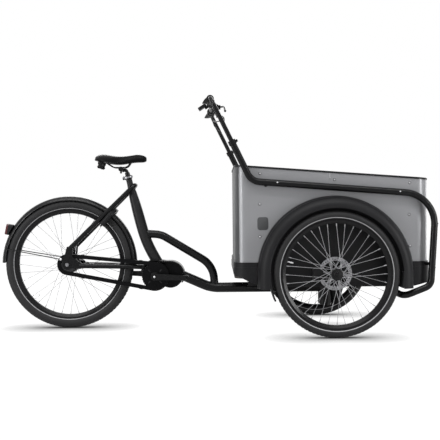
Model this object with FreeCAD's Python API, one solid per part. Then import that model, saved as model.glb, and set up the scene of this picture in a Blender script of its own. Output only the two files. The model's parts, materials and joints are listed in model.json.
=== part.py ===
import FreeCAD, Part
import math
import os

V = FreeCAD.Vector

# Frame: +X forward, +Y to the rider's left, +Z up, ground at Z = 0, millimetres.

# Wheels
rear_tyre_radius = 333.5
rear_tyre_height = 52.5
front_tyre_radius = 300.0
front_tyre_height = 42.0
tyre_neck_half = 12.5
tyre_neck_height = 4.0
tyre_wall = 4.0
rim_depth = 18.0
rim_wall = 2.0
spoke_count = 36
spoke_radius = 1.0
nipple_radius = 1.9
nipple_length = 13.0
spoke_bite = 1.5
running_gap = 0.05
side_gap = 0.4
beyond = 2000.0

# Drive
bottom_bracket_x = -284.0
bottom_bracket_z = 268.0
tyre_room = 113.5
front_centre = 885.0
chain_line = -54.0
chain_pitch = 12.7
chainring_teeth = 32
sprocket_teeth = 22
tooth_thickness = 4.0
carrier_radius = 24.0
crank_length = 165.0
crank_angle = -2.5
crank_inner_face = 78.0
crank_thickness = 14.0
crank_axle_radius = 11.0
crank_boss_radius = 19.0
pedal_eye_radius = 7.14
case_width = 20.0
case_wall = 2.0
case_reach = 10.0
case_sleeve = 16.0
motor_width = 88.0
motor_front_x = bottom_bracket_x + 79.0
motor_front_z = bottom_bracket_z + 4.0
motor_front_radius = 67.0
motor_rear_radius = 58.0

# Rear frame
rear_axle_x = bottom_bracket_x - rear_tyre_radius - tyre_room
front_axle_x = bottom_bracket_x + front_centre
frame_wall = 2.5
seat_tube_top_z = 790.0
seat_tube_foot_z = 335.0
seat_tube_curve_z = 520.0
seat_tube_top_radius = 16.0
seat_tube_foot_radius = 28.0
seat_tube_slope = 0.262
seat_collar_x = bottom_bracket_x - 140.0
seat_collar_length = 40.0
loop_tube_radius = 21.0
loop_top_z = 488.0
loop_bend_top = 120.0
loop_bend_foot = 130.0
beam_radius = 26.0
beam_bend = 200.0
beam_z = 203.0
stay_radius = 12.0
stay_top_z = 740.0
dropout_inner = 67.5
dropout_thickness = 7.0
rear_axle_radius = 6.0
bracket_thickness = 7.0

# Fender and lock
fender_gap = 18.5
fender_half_width = 28.0
fender_crown = 22.0
fender_wall = 2.5
fender_front_angle = -4.0
fender_rear_angle = 178.5
fender_stay_radius = 2.5
lamp_angle = 149.0
lock_angle = 49.0
lock_inner_radius = 52.0
lock_outer_radius = 70.0
lock_thickness = 22.0

# Seat
post_radius = 12.7
post_insert = 165.0
saddle_length = 271.0
saddle_clamp_x = seat_collar_x - 33.0
saddle_clamp_z = seat_tube_top_z + 34.0
saddle_rail_radius = 3.5
saddle_rail_half = 22.0

# Cargo box
box_rear_x = front_axle_x - 476.0
box_front_x = front_axle_x + 454.0
box_half = 350.0
box_corner = 60.0
panel_wall = 4.0
panel_bottom_z = 355.0
box_top_rear_z = 815.0
box_top_front_z = 744.0
panel_seam = 1.2
rear_wrap = 21.0
front_wrap = 4.0
trim_height = 9.0
trim_lip = 3.0
skirt_reach = 8.0
skirt_wall = 5.0
skirt_step = 2.0
skirt_band = 24.0
skirt_bottom_z = 231.0
floor_bottom_z = 278.0
floor_thickness = 10.0
arch_radius = 368.0
arch_lip_radius = 313.0
arch_width = 82.0
arch_wall = 4.0
arch_rim = 3.0
arch_crease = 2.0
arch_gap = 1.6
flap_thickness = 8.0
well_depth = 50.0

# Front chassis and steering
wheel_offset = 55.0
kingpin_radius = 15.0
head_radius = 38.0
head_nose = 52.0
head_nose_radius = 56.0
head_bottom_z = 118.0
kingpin_flange_radius = 30.0
kingpin_flange = 10.0
chassis_tube = 40.0
chassis_inset = 70.0
stub_radius = 7.5
carrier_thickness = 12.0
carrier_boss = 34.0
rotor_thickness = 2.0

# Rails and handlebar
rail_radius = 16.0
rail_offset = 22.0
rail_bend = 70.0
rail_front_bend = 150.0
upright_radius = 11.0
upright_wall = 2.0
upright_insert = 110.0
clamp_height = 117.0
bar_rise = 211.0
bar_bend = 45.0
grip_length = 128.0
grip_radius = 18.0
grip_wing = 44.0
lever_pivot_radius = 3.0

# Places that follow from the sizes above
rear_bead_radius = rear_tyre_radius - rear_tyre_height
front_bead_radius = front_tyre_radius - front_tyre_height
fender_radius = rear_tyre_radius + fender_gap
bracket_reach = motor_front_radius + side_gap + bracket_thickness
front_track_half = box_half + wheel_offset
hub_outer_end = front_track_half + 25.0
hub_inner_end = front_track_half - 41.0
rotor_y = hub_inner_end - rotor_thickness
well_back = box_half - well_depth
arch_reach = box_half + arch_width
pivot_x = front_axle_x
floor_top_z = floor_bottom_z + floor_thickness
chassis_bottom_z = floor_bottom_z - chassis_tube
chassis_half = box_half - chassis_inset
chassis_rear_x = box_rear_x + 65.0
chassis_front_x = box_front_x - 70.0
head_top_z = chassis_bottom_z - side_gap
rear_panel_edge_x = box_rear_x + rear_wrap
front_panel_edge_x = box_front_x - front_wrap
side_seam_x = front_axle_x - 20.0
rail_half = box_half + rail_offset
rail_corner_x = box_rear_x + 79.0
rail_corner_z = box_top_rear_z - 72.0
clamp_x = box_rear_x - 12.0
clamp_z = box_top_rear_z + clamp_height
bar_z = clamp_z + bar_rise
grip_outer = rail_half - bar_bend - 2.0
lever_y = grip_outer - grip_length - 27.0
control_y = lever_y - 70.0
rear_joint_x = rear_axle_x + 76.0
front_joint_x = bottom_bracket_x - 72.0


def pitch_radius(teeth):
    return chain_pitch / (2 * math.sin(math.pi / teeth))


def rod(a, b, radius):
    a, b = V(*a), V(*b)
    return Part.makeCylinder(radius, (b - a).Length, a, b - a)


def box(x0, x1, y0, y1, z0, z1):
    return Part.makeBox(x1 - x0, y1 - y0, z1 - z0, V(x0, y0, z0))


def fuse(shapes):
    return shapes[0].multiFuse(shapes[1:]).removeSplitter() if len(shapes) > 1 else shapes[0]


def polygon(points):
    pts = [V(*p) for p in points]
    return Part.makePolygon(pts + [pts[0]])


def mirror(shape):
    return shape.mirror(V(0, 0, 0), V(0, 1, 0))


def route(points, bends):
    """Straight runs joined by tangent arcs, one bend radius per inner point."""
    pts = [V(*p) for p in points]
    edges = []
    start = pts[0]
    for i, bend in enumerate(bends):
        before, corner, after = pts[i], pts[i + 1], pts[i + 2]
        u = (before - corner).normalize()
        w = (after - corner).normalize()
        turn = math.pi - u.getAngle(w)
        reach = bend * math.tan(turn / 2)
        a = corner + u * reach
        b = corner + w * reach
        middle = (u + w).normalize()
        centre = corner + middle * (bend / math.cos(turn / 2))
        edges.append(Part.LineSegment(start, a).toShape())
        edges.append(Part.Arc(a, centre - middle * bend, b).toShape())
        start = b
    edges.append(Part.LineSegment(start, pts[-1]).toShape())
    return Part.Wire(edges)


def swept(points, bends, radius):
    path = route(points, bends)
    start = V(*points[0])
    along = V(*points[1]) - start
    ring = Part.Wire(Part.Circle(start, along, radius).toShape())
    return path.makePipeShell([ring], True, False)


def tube(points, bends, radius, wall):
    return swept(points, bends, radius).cut(swept(points, bends, radius - wall))


def turned(profile, start_angle=0.0, sweep=360.0):
    """Revolve a closed (radius, y) outline about the Y axis; angles run from +X towards +Z."""
    face = Part.Face(profile)
    face.rotate(V(0, 0, 0), V(0, 1, 0), -start_angle)
    return face.revolve(V(0, 0, 0), V(0, -1, 0), sweep)


def lines_profile(points):
    return polygon([(r, y, 0) for r, y in points])


def at(shape, x, y, z):
    moved = shape.copy()
    moved.translate(V(x, y, z))
    return moved


# Wheels, modelled about the Y axis at the origin

def tyre(outer_radius, bead):
    neck = bead + tyre_neck_height
    crown = outer_radius - tyre_wall
    foot = tyre_neck_half - tyre_wall
    half = tyre_neck_half
    outer = Part.Arc(V(neck, -half, 0), V(outer_radius, 0, 0), V(neck, half, 0)).toShape()
    inner = Part.Arc(V(neck, foot, 0), V(crown, 0, 0), V(neck, -foot, 0)).toShape()
    sides = []
    for side in (1, -1):
        for y in (half, foot):
            sides.append(Part.makeLine(V(neck, side * y, 0), V(bead, side * y, 0)))
        sides.append(Part.makeLine(V(bead, side * foot, 0), V(bead, side * half, 0)))
    return turned(Part.Wire(Part.__sortEdges__([outer, inner] + sides)))


def rim(bead):
    """A deep box-section rim: bead seat, low flanges, rounded spoke bed."""
    half = tyre_neck_half + side_gap + rim_wall
    flange = bead + tyre_neck_height - 1.0
    seat = tyre_neck_half + side_gap
    bed = bead - rim_depth
    well = bead - 5.0
    drop = tyre_neck_half - tyre_wall - 2.0
    outline = [(flange, half), (bead - rim_wall * 2, half), (bed, half * 0.45), (bed, -half * 0.45)]
    outline += [(bead - rim_wall * 2, -half), (flange, -half), (flange, -seat), (bead, -seat)]
    outline += [(bead, -drop), (well, -drop + 2.0), (well, drop - 2.0), (bead, drop)]
    outline += [(bead, seat), (flange, seat)]
    return turned(lines_profile(outline))


def spokes(bead, hub_flange_radius, flange_half, cross_angle):
    """Crossed spokes with nipples; every other one leans the other way on its flange's other face."""
    rim_bed = bead - rim_depth
    solids = []
    for i in range(spoke_count):
        angle = 360.0 * i / spoke_count
        side = 1 if i % 2 else -1
        lean = 1 if (i // 2) % 2 else -1
        hub_angle = math.radians(angle + lean * cross_angle)
        rim_angle = math.radians(angle)
        hub_y = side * (flange_half + lean * 2.2)
        rim_y = side * 3.0
        a = V(hub_flange_radius * math.cos(hub_angle), hub_y, hub_flange_radius * math.sin(hub_angle))
        b = V(rim_bed * math.cos(rim_angle), rim_y, rim_bed * math.sin(rim_angle))
        along = (b - a).normalize()
        spoke = Part.makeCylinder(spoke_radius, (b - a).Length + spoke_bite, a, along)
        nipple_start = b - along * nipple_length
        nipple = Part.makeCylinder(nipple_radius, nipple_length + spoke_bite, nipple_start, along)
        solids.append(spoke.fuse(nipple))
    return Part.makeCompound(solids)


def hub(shell_radius, flange_radius, flange_half, left_end, right_end, bore):
    """Shell with two spoke flanges; ends are Y positions, bore is the axle hole's radius."""
    flange = 3.0
    neck = shell_radius * 0.72
    edge = flange_radius + 4
    outline = [(bore, right_end), (neck, right_end), (neck, -flange_half - 8), (edge, -flange_half - flange)]
    outline += [(edge, -flange_half + flange), (shell_radius, -flange_half + flange + 4)]
    outline += [(shell_radius, flange_half - flange - 4), (edge, flange_half - flange)]
    outline += [(edge, flange_half + flange), (neck, flange_half + 8), (neck, left_end), (bore, left_end)]
    return turned(lines_profile(outline))


# Rear frame

def seat_tube_axis(z):
    """X of the seat tube's centre line at height z: straight, then curving forward to the motor."""
    foot_curve = max(0.0, seat_tube_curve_z - z)
    return seat_collar_x + (seat_tube_top_z - z) * seat_tube_slope + foot_curve ** 2 * 0.00095


def seat_axis():
    return V(-seat_tube_slope, 0, 1).normalize()


def seat_top():
    return V(seat_tube_axis(seat_tube_top_z), 0, seat_tube_top_z)


def seat_tube_sections(top_z, foot_z, inset):
    """Round sections along the centre line; the tube widens from collar to foot."""
    count = 6
    sections = []
    for i in range(count + 1):
        z = top_z + (foot_z - top_z) * i / count
        share = min(1.0, max(0.0, (seat_tube_top_z - seat_collar_length - z) / 200.0))
        share = share * (2 - share)
        radius = seat_tube_top_radius + (seat_tube_foot_radius - seat_tube_top_radius) * share - inset
        lean = (seat_tube_axis(z - 1) - seat_tube_axis(z + 1)) / 2
        ring = Part.Circle(V(seat_tube_axis(z), 0, z), V(-lean, 0, 1), radius)
        sections.append(Part.Wire(ring.toShape()))
    return sections


def seat_tube_blank():
    collar_z = seat_tube_top_z - seat_collar_length
    body = Part.makeLoft(seat_tube_sections(collar_z, seat_tube_foot_z, 0.0), True, False)
    foot = V(seat_tube_axis(collar_z), 0, collar_z)
    collar = Part.makeCylinder(seat_tube_top_radius, (seat_top() - foot).Length, foot, seat_axis())
    return body.fuse(collar)


def seat_tube_hollow():
    start_z = seat_tube_top_z - 3 * seat_collar_length
    return Part.makeLoft(seat_tube_sections(start_z, seat_tube_foot_z - 5, frame_wall + 0.5), True, False)


def seat_tube():
    bore_length = 330.0
    bore = Part.makeCylinder(post_radius + running_gap, bore_length, seat_top(), seat_axis() * -1)
    body = seat_tube_blank().cut(bore).cut(seat_tube_hollow())
    return body.cut(bracket_lobes(bracket_reach)).Solids[0]


def loop_points():
    x = bottom_bracket_x
    return [(seat_tube_axis(loop_top_z) - 4, 0, loop_top_z), (x + 31, 0, loop_top_z - 6),
            (x + 298, 0, loop_top_z - 168), (x + 308, 0, beam_z + 10)]


def loop_tube():
    body = tube(loop_points(), [loop_bend_top, loop_bend_foot], loop_tube_radius, frame_wall)
    return body.cut(seat_tube_blank()).cut(beam_blank())


def beam_points():
    start = (motor_front_x + 59, 0, motor_front_z - 3)
    return [start, (bottom_bracket_x + 288, 0, beam_z), (pivot_x - 10, 0, beam_z)]


def beam_blank():
    return swept(beam_points(), [beam_bend], beam_radius)


def head_blank():
    """Round barrel on the pivot with a tapered nose cast ahead of it."""
    height = head_top_z - head_bottom_z
    barrel = Part.makeCylinder(head_radius, height, V(pivot_x, 0, head_bottom_z))
    nose = Part.makeCone(head_radius / 2, head_nose_radius, height, V(pivot_x + head_nose, 0, head_bottom_z))
    return fuse([barrel, nose])


def main_beam():
    body = tube(beam_points(), [beam_bend], beam_radius, frame_wall)
    return body.cut(head_blank()).cut(bracket_lobes(bracket_reach))


def steering_head():
    bore = Part.makeCylinder(kingpin_radius + running_gap, beyond, V(pivot_x, 0, 0))
    relief = Part.makeCylinder(head_radius - 8, 70.0, V(pivot_x, 0, head_bottom_z + 25))
    return head_blank().cut(bore).cut(relief)


def bracket_lobes(radius):
    """Two round lobes over the motor and the bridge between them, as one solid block."""
    half = motor_width / 2
    lobes = []
    for x, z in ((bottom_bracket_x, bottom_bracket_z + 12), (motor_front_x, motor_front_z)):
        lobes.append(Part.makeCylinder(radius, motor_width, V(x, -half, z), V(0, 1, 0)))
    top = motor_front_z + radius
    bridge = box(bottom_bracket_x, motor_front_x, -half, half, motor_front_z, top)
    return fuse(lobes + [bridge])


def motor_bracket():
    """A pressed yoke that follows the motor's top from the seat tube's foot to the beam."""
    shell = bracket_lobes(bracket_reach).cut(bracket_lobes(bracket_reach - bracket_thickness))
    behind = box(-beyond, motor_front_x, -beyond, beyond, 0, bottom_bracket_z + 16)
    ahead = box(motor_front_x, beyond, -beyond, beyond, 0, motor_front_z - 38)
    return shell.cut(behind).cut(ahead)


def motor_housing():
    """Rounded mid-drive casing: two lobes in one drafted casting, with the crank axle's bore."""
    half = motor_width / 2 - 6
    rear_x, rear_z = bottom_bracket_x, bottom_bracket_z
    front_x, front_z = motor_front_x, motor_front_z
    y = -half + 2
    rear = Part.makeCylinder(motor_rear_radius, 2 * half, V(rear_x, -half, rear_z), V(0, 1, 0))
    front = Part.makeCylinder(motor_front_radius - 1, 2 * half - 8, V(front_x, y + 2, front_z), V(0, 1, 0))
    low, high = motor_rear_radius - 2, motor_front_radius - 6
    waist = polygon([(rear_x, y, rear_z - low), (front_x, y, front_z - high),
                     (front_x, y, front_z + high), (rear_x, y, rear_z + low)])
    body = fuse([rear, front, Part.Face(waist).extrude(V(0, 2 * half - 4, 0))])
    start = V(rear_x, -2 * half, rear_z)
    bore = Part.makeCylinder(crank_axle_radius + running_gap, 4 * half, start, V(0, 1, 0))
    return body.cut(bore)


def chain_stay_points(side):
    front = rear_axle_x + rear_tyre_radius
    z = rear_tyre_radius - 13.5
    return [(rear_axle_x + 60, side * (dropout_inner + 1), z + 6), (front - 44.5, side * 53.0, z),
            (front + 3.5, side * 45.0, z - 2), (front + 41.5, side * 28.0, z - 5),
            (front + 57.5, side * 28.0, z - 6)]


def chain_stays():
    stays = []
    for side in (1, -1):
        body = swept(chain_stay_points(side), [160.0, 40.0, 20.0], stay_radius)
        stays.append(body.cut(dropout_blank(side)).cut(bracket_lobes(bracket_reach)).Solids[0])
    return Part.makeCompound(stays)


def seat_stay_points():
    low = (rear_axle_x + 14.0, dropout_inner + 3.5, rear_tyre_radius + 84.0)
    x, z = seat_tube_axis(stay_top_z), stay_top_z
    half = [low, (x - 17, 33.0, z - 40), (x + 24, 28.0, z)]
    return half + [(px, -py, pz) for px, py, pz in reversed(half)]


def seat_stays():
    body = swept(seat_stay_points(), [200.0, 22.0, 22.0, 200.0], stay_radius)
    body = body.cut(seat_tube_blank())
    for side in (1, -1):
        body = body.cut(dropout_blank(side))
    return body


def dropout_blank(side):
    """Plate with the axle eye, a stay lug above and a chain stay lug ahead."""
    y0 = side * dropout_inner if side > 0 else -dropout_inner - dropout_thickness
    z = rear_tyre_radius
    x = rear_axle_x
    eye = Part.makeCylinder(26.0, dropout_thickness, V(x, y0, z), V(0, 1, 0))
    outline = [(x - 24, y0, z + 10), (x - 2, y0, z + 92), (x + 30, y0, z + 92), (x + 26, y0, z + 40),
               (x + 68, y0, z + 10), (x + 68, y0, z - 22), (x + 20, y0, z - 18)]
    plate = Part.Face(polygon(outline)).extrude(V(0, dropout_thickness, 0))
    stay_eye = Part.makeCylinder(9.0, dropout_thickness, V(x - 34, y0, z + 28), V(0, 1, 0))
    outline = [(x - 34, y0, z + 37), (x - 10, y0, z + 45), (x - 10, y0, z + 5), (x - 34, y0, z + 19)]
    web = Part.Face(polygon(outline))
    return fuse([eye, plate, stay_eye, web.extrude(V(0, dropout_thickness, 0))])


def dropouts():
    plates = []
    for side in (1, -1):
        start = V(rear_axle_x, -beyond, rear_tyre_radius)
        slot = Part.makeCylinder(rear_axle_radius, 2 * beyond, start, V(0, 1, 0))
        plates.append(dropout_blank(side).cut(slot))
    return Part.makeCompound(plates)


def rear_axle():
    reach = dropout_inner + dropout_thickness
    axle = Part.makeCylinder(rear_axle_radius, 2 * reach + 30, V(0, -reach - 15, 0), V(0, 1, 0))
    nuts = []
    for side in (1, -1):
        y = reach if side > 0 else -reach - 11
        nuts.append(hexagon(17.0, 11.0, y))
    return at(fuse([axle] + nuts), rear_axle_x, 0, rear_tyre_radius)


def hexagon(flats, height, y):
    r = flats / math.sqrt(3)
    points = [(r * math.cos(math.radians(60 * i)), y, r * math.sin(math.radians(60 * i))) for i in range(6)]
    return Part.Face(polygon(points)).extrude(V(0, height, 0))


# Drive train

def loop_face(grow, y):
    """Outline of the chain's path grown by a distance: two arcs joined by their outer tangents."""
    r1 = pitch_radius(sprocket_teeth) + grow
    r2 = pitch_radius(chainring_teeth) + grow
    a = V(rear_axle_x, y, rear_tyre_radius)
    b = V(bottom_bracket_x, y, bottom_bracket_z)
    span = b - a
    tilt = math.atan2(span.z, span.x)
    lean = math.acos((r1 - r2) / span.Length)

    def on(centre, r, angle):
        return centre + V(r * math.cos(angle), 0, r * math.sin(angle))
    up, down = tilt + lean, tilt - lean
    edges = [Part.makeLine(on(a, r1, up), on(b, r2, up)),
             Part.Arc(on(b, r2, up), on(b, r2, tilt), on(b, r2, down)).toShape(),
             Part.makeLine(on(b, r2, down), on(a, r1, down)),
             Part.Arc(on(a, r1, down), on(a, r1, tilt + math.pi), on(a, r1, up)).toShape()]
    return Part.Face(Part.Wire(edges))


def slab(grow, y0, y1):
    return loop_face(grow, y0).extrude(V(0, y1 - y0, 0))


def chain_case_blank(grow=0.0):
    half = case_width / 2 + grow
    reach = case_reach + grow
    outer = slab(reach, chain_line - half, chain_line + half)
    cavity = slab(reach - case_wall, chain_line - half + case_wall, chain_line + half - case_wall)
    middle = slab(-9.0, -beyond, beyond)
    return outer.cut(cavity).cut(middle)


def chain_case_section(x0, x1, grow=0.0):
    return chain_case_blank(grow).common(box(x0, x1, -beyond, beyond, 0, beyond))


def chainring_cover():
    """Dished disc that closes the case outside the chainring, with the crank's opening and four slots."""
    face_y = chain_line - case_width / 2
    centre = V(bottom_bracket_x, face_y, bottom_bracket_z)
    disc = Part.makeCylinder(pitch_radius(chainring_teeth), case_wall, centre, V(0, 1, 0))
    start = centre - V(0, case_width, 0)
    cuts = [Part.makeCylinder(crank_boss_radius + 4, 2 * case_width, start, V(0, 1, 0))]
    for i in range(4):
        slot = box(34, 50, -case_width, case_width, -3, 3)
        slot.rotate(V(0, 0, 0), V(0, 1, 0), 90.0 * i + 45.0)
        slot.translate(centre)
        cuts.append(slot)
    return disc.cut(Part.makeCompound(cuts))


def chain_case():
    """Front ring with its cover, two runs and rear ring of the case, with a sleeve over each joint."""
    front = fuse([chain_case_section(front_joint_x, beyond), chainring_cover()])
    rear = chain_case_section(-beyond, rear_joint_x)
    runs = chain_case_section(rear_joint_x, front_joint_x)
    half = case_sleeve / 2
    sleeves = [chain_case_section(x - half, x + half, case_wall) for x in (rear_joint_x, front_joint_x)]
    return Part.makeCompound([front, rear, runs] + sleeves)


def drive_chain():
    """Side plates of the chain: two ribbons, one each side of the teeth."""
    ribbons = []
    for y in (chain_line - 4.2, chain_line + 2.8):
        ribbons.append(slab(4.2, y, y + 1.4).cut(slab(-4.2, y - 1, y + 3)))
    return Part.makeCompound(ribbons)


def toothed_disc(teeth, thickness, bore):
    """Sprocket blank with one rounded valley per tooth."""
    pitch = pitch_radius(teeth)
    disc = Part.makeCylinder(pitch + 3.2, thickness, V(0, -thickness / 2, 0), V(0, 1, 0))
    valleys = []
    for i in range(teeth):
        angle = 2 * math.pi * i / teeth
        centre = V(pitch * math.cos(angle), -thickness, pitch * math.sin(angle))
        valleys.append(Part.makeCylinder(4.0, 2 * thickness, centre, V(0, 1, 0)))
    hole = Part.makeCylinder(bore, 2 * thickness, V(0, -thickness, 0), V(0, 1, 0))
    return disc.cut(Part.makeCompound(valleys)).cut(hole)


def chainring():
    """Toothed ring on a four-arm spider."""
    thickness = tooth_thickness
    pitch = pitch_radius(chainring_teeth)
    ring = toothed_disc(chainring_teeth, thickness, pitch - 11.0)
    arms = [Part.makeCylinder(22.0, thickness, V(0, -thickness / 2, 0), V(0, 1, 0))]
    for i in range(4):
        arm = box(0, pitch - 8.0, -thickness / 2, thickness / 2, -10, 10)
        arm.rotate(V(0, 0, 0), V(0, 1, 0), 90.0 * i + 45.0)
        arms.append(arm)
    spider = fuse(arms).cut(Part.makeCylinder(crank_axle_radius, 50, V(0, -25, 0), V(0, 1, 0)))
    whole = fuse([ring, spider])
    whole.rotate(V(0, 0, 0), V(0, 1, 0), -crank_angle)
    return at(whole, bottom_bracket_x, chain_line, bottom_bracket_z)


def rear_sprocket():
    body = toothed_disc(sprocket_teeth, tooth_thickness, carrier_radius + running_gap)
    return at(body, rear_axle_x, chain_line, rear_tyre_radius)


def crank(side):
    """Tapered forged arm with a threaded pedal eye; the left one carries the axle."""
    y0 = crank_inner_face if side > 0 else -crank_inner_face - crank_thickness
    boss = Part.makeCylinder(crank_boss_radius, crank_thickness, V(0, y0, 0), V(0, 1, 0))
    eye = Part.makeCylinder(13.0, crank_thickness, V(crank_length, y0, 0), V(0, 1, 0))
    arm = polygon([(0, y0, -17), (0, y0, 17), (crank_length, y0, 12), (crank_length, y0, -12)])
    body = fuse([boss, eye, Part.Face(arm).extrude(V(0, crank_thickness, 0))])
    if side > 0:
        body = fuse([body, crank_axle()])
    else:
        body = body.cut(Part.makeCylinder(crank_axle_radius, 2 * beyond, V(0, -beyond, 0), V(0, 1, 0)))
    body = body.cut(Part.makeCylinder(pedal_eye_radius, 2 * beyond, V(crank_length, -beyond, 0), V(0, 1, 0)))
    turn = -crank_angle if side < 0 else 180.0 - crank_angle
    body.rotate(V(0, 0, 0), V(0, 1, 0), turn)
    return at(body, bottom_bracket_x, 0, bottom_bracket_z)


def crank_axle():
    reach = crank_inner_face + crank_thickness + 3.0
    return Part.makeCylinder(crank_axle_radius, 2 * reach, V(0, -reach, 0), V(0, 1, 0))


# Rear wheel, fender, light and lock

def rear_hub():
    """Gear hub: a large shell with a narrower carrier for the sprocket on the right."""
    shoulder = chain_line + 7.0
    body = hub(38.0, 44.0, 30.0, dropout_inner - 3, -dropout_inner + 3, rear_axle_radius + running_gap)
    room = Part.makeCylinder(80, dropout_inner, V(0, shoulder - dropout_inner, 0), V(0, 1, 0))
    carrier = Part.makeCylinder(carrier_radius, 11.0, V(0, shoulder - 11.0, 0), V(0, 1, 0))
    collar = Part.makeCylinder(14.0, 9.0, V(0, -dropout_inner + 1, 0), V(0, 1, 0))
    bore = Part.makeCylinder(rear_axle_radius + running_gap, 200, V(0, -100, 0), V(0, 1, 0))
    return fuse([body.cut(room), carrier, collar]).cut(bore)


def fender_profile(radius):
    edge = radius - fender_crown
    h = fender_half_width
    outer = Part.Arc(V(edge, -h, 0), V(radius, 0, 0), V(edge, h, 0)).toShape()
    k = h - fender_wall
    inner = Part.Arc(V(edge, k, 0), V(radius - fender_wall, 0, 0), V(edge, -k, 0)).toShape()
    side_a = Part.makeLine(V(edge, h, 0), V(edge, k, 0))
    side_b = Part.makeLine(V(edge, -k, 0), V(edge, -h, 0))
    return Part.Wire([outer, side_a, inner, side_b])


def rear_fender():
    body = turned(fender_profile(fender_radius), fender_front_angle, fender_rear_angle - fender_front_angle)
    return at(body, rear_axle_x, 0, rear_tyre_radius)


def fender_stays():
    """A bent wire from each dropout's eye to the fender's rear edge."""
    angle = math.radians(166.0)
    r = fender_radius - fender_crown + 6.0
    wires = []
    for side in (1, -1):
        y_low = side * (dropout_inner + dropout_thickness + fender_stay_radius)
        y_high = side * (fender_half_width + 2.0)
        a = (rear_axle_x - 34.0, y_low, rear_tyre_radius + 28.0)
        b = (rear_axle_x + r * math.cos(angle), y_high, rear_tyre_radius + r * math.sin(angle))
        wires.append(rod(a, b, fender_stay_radius).cut(dropout_blank(side)).cut(rear_fender()))
    return Part.makeCompound([w.Solids[0] for w in wires])


def tail_light(lens):
    """Rounded lamp on the fender's back; the lens closes its rear face."""
    angle = math.radians(lamp_angle)
    r = fender_radius - 8.0
    body = Part.makeBox(34.0, 52.0, 56.0, V(0, -26, -28))
    body = body.makeFillet(9.0, [e for e in body.Edges if abs(e.tangentAt(e.FirstParameter).x) > 0.9])
    split = box(24.0, 60.0, -50, 50, -50, 50)
    piece = body.common(split) if lens else body.cut(split)
    piece.rotate(V(0, 0, 0), V(0, 0, 1), 180.0)
    piece.rotate(V(0, 0, 0), V(0, 1, 0), 12.0)
    piece = at(piece, rear_axle_x + r * math.cos(angle), 0, rear_tyre_radius + r * math.sin(angle))
    if lens:
        return piece
    wheel_side = turned(lines_profile([(0, -40), (fender_radius, -40), (fender_radius, 40), (0, 40)]))
    return piece.cut(at(wheel_side, rear_axle_x, 0, rear_tyre_radius))


def lock_frame(shape):
    """Stand a lock piece, drawn in the (radial, y) plane, at its place on the wheel."""
    shape.rotate(V(0, 0, 0), V(0, 1, 0), -lock_angle)
    angle = math.radians(lock_angle)
    r = rear_tyre_radius - 27.0
    return at(shape, rear_axle_x + r * math.cos(angle), 0, rear_tyre_radius + r * math.sin(angle))


def ring_lock():
    """Horseshoe round the tyre with a key barrel, its drawn-back shackle's end and two lugs to the stays."""
    ring = Part.makeCylinder(lock_outer_radius, lock_thickness, V(0, 0, -lock_thickness / 2))
    hole = Part.makeCylinder(lock_inner_radius, 2 * lock_thickness, V(0, 0, -lock_thickness))
    mouth = box(-beyond, -38, -beyond, beyond, -beyond, beyond)
    middle = (lock_inner_radius + lock_outer_radius) / 2
    barrel = Part.makeCylinder(14.0, 72.0, V(-38, -middle, 0), V(1, 0, 0))
    shackle = Part.makeCylinder(4.5, 14.0, V(-49, -middle, 0), V(1, 0, 0))
    lugs = [Part.makeCylinder(6.0, 40.0, V(41, side * 44, 0), V(0, 0, 1)) for side in (1, -1)]
    body = fuse([ring.cut(hole), barrel] + lugs).cut(mouth)
    body = lock_frame(fuse([body, shackle]))
    return body.cut(seat_stays()).Solids[0]


# Seat

def seat_clamp():
    """Split collar with two ears at the back, drawn upright and then leaned with the tube."""
    height = 16.0
    ring = Part.makeCylinder(seat_tube_top_radius + 4.5, height)
    ears = box(-seat_tube_top_radius - 14, -seat_tube_top_radius - 2, -11, 11, 2, 14)
    slit = box(-seat_tube_top_radius - 40, -seat_tube_top_radius / 2, -1.5, 1.5, -10, 40)
    bore = Part.makeCylinder(seat_tube_top_radius, 60.0, V(0, 0, -20))
    body = ring.fuse(ears).cut(bore).cut(slit)
    body.rotate(V(0, 0, 0), V(0, 1, 0), -math.degrees(math.atan(seat_tube_slope)))
    body.translate(seat_top() - seat_axis() * (height + 2))
    return body


def lever_place():
    base = seat_top() - seat_axis() * 10
    return base + V(-seat_tube_top_radius - 8, -11, 0)


def seat_clamp_lever():
    """Cam lever: a curved blade from the cam at the back, along the right side to the front."""
    p = lever_place()
    drop = seat_axis() * 5
    cam = Part.makeCylinder(5.5, 10.0, p - drop + V(0, -6.0, 0), seat_axis())
    outer = seat_tube_top_radius + 12.0
    inner = seat_tube_top_radius + 8.0
    centre = seat_top() - seat_axis() * 14
    hollow = Part.makeCylinder(inner, 40.0, centre - seat_axis() * 10, seat_axis())
    blade = Part.makeCylinder(outer, 8.0, centre, seat_axis()).cut(hollow)
    keep = box(p.x, centre.x + outer - 2, -beyond, -12.0, 0, beyond)
    return fuse([cam, blade.common(keep)])


def seat_post():
    """Straight post with a forged neck that sets the saddle clamp back."""
    top = seat_top() + seat_axis() * 16
    low = seat_top() - seat_axis() * post_insert
    post = Part.makeCylinder(post_radius, (top - low).Length, low, seat_axis())
    neck_top = (saddle_clamp_x + 4.0, 0, saddle_clamp_z - 8.0)
    start = top - seat_axis() * 6
    knee = start + seat_axis() * 24
    neck = swept([tuple(start), tuple(knee), neck_top], [12.0], 9.0)
    return fuse([post, neck, saddle_clamp()])


def saddle_clamp():
    """Round cradle across the rails, with its bolt head below."""
    half = saddle_rail_half + 8.0
    cradle = Part.makeCylinder(13.0, 2 * half, V(saddle_clamp_x, -half, saddle_clamp_z), V(0, 1, 0))
    bolt = Part.makeCylinder(5.0, 10.0, V(saddle_clamp_x - 3.0, 0, saddle_clamp_z - 22.0))
    body = fuse([cradle, bolt])
    for side in (1, -1):
        body = body.cut(saddle_rail(side))
    return body


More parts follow.
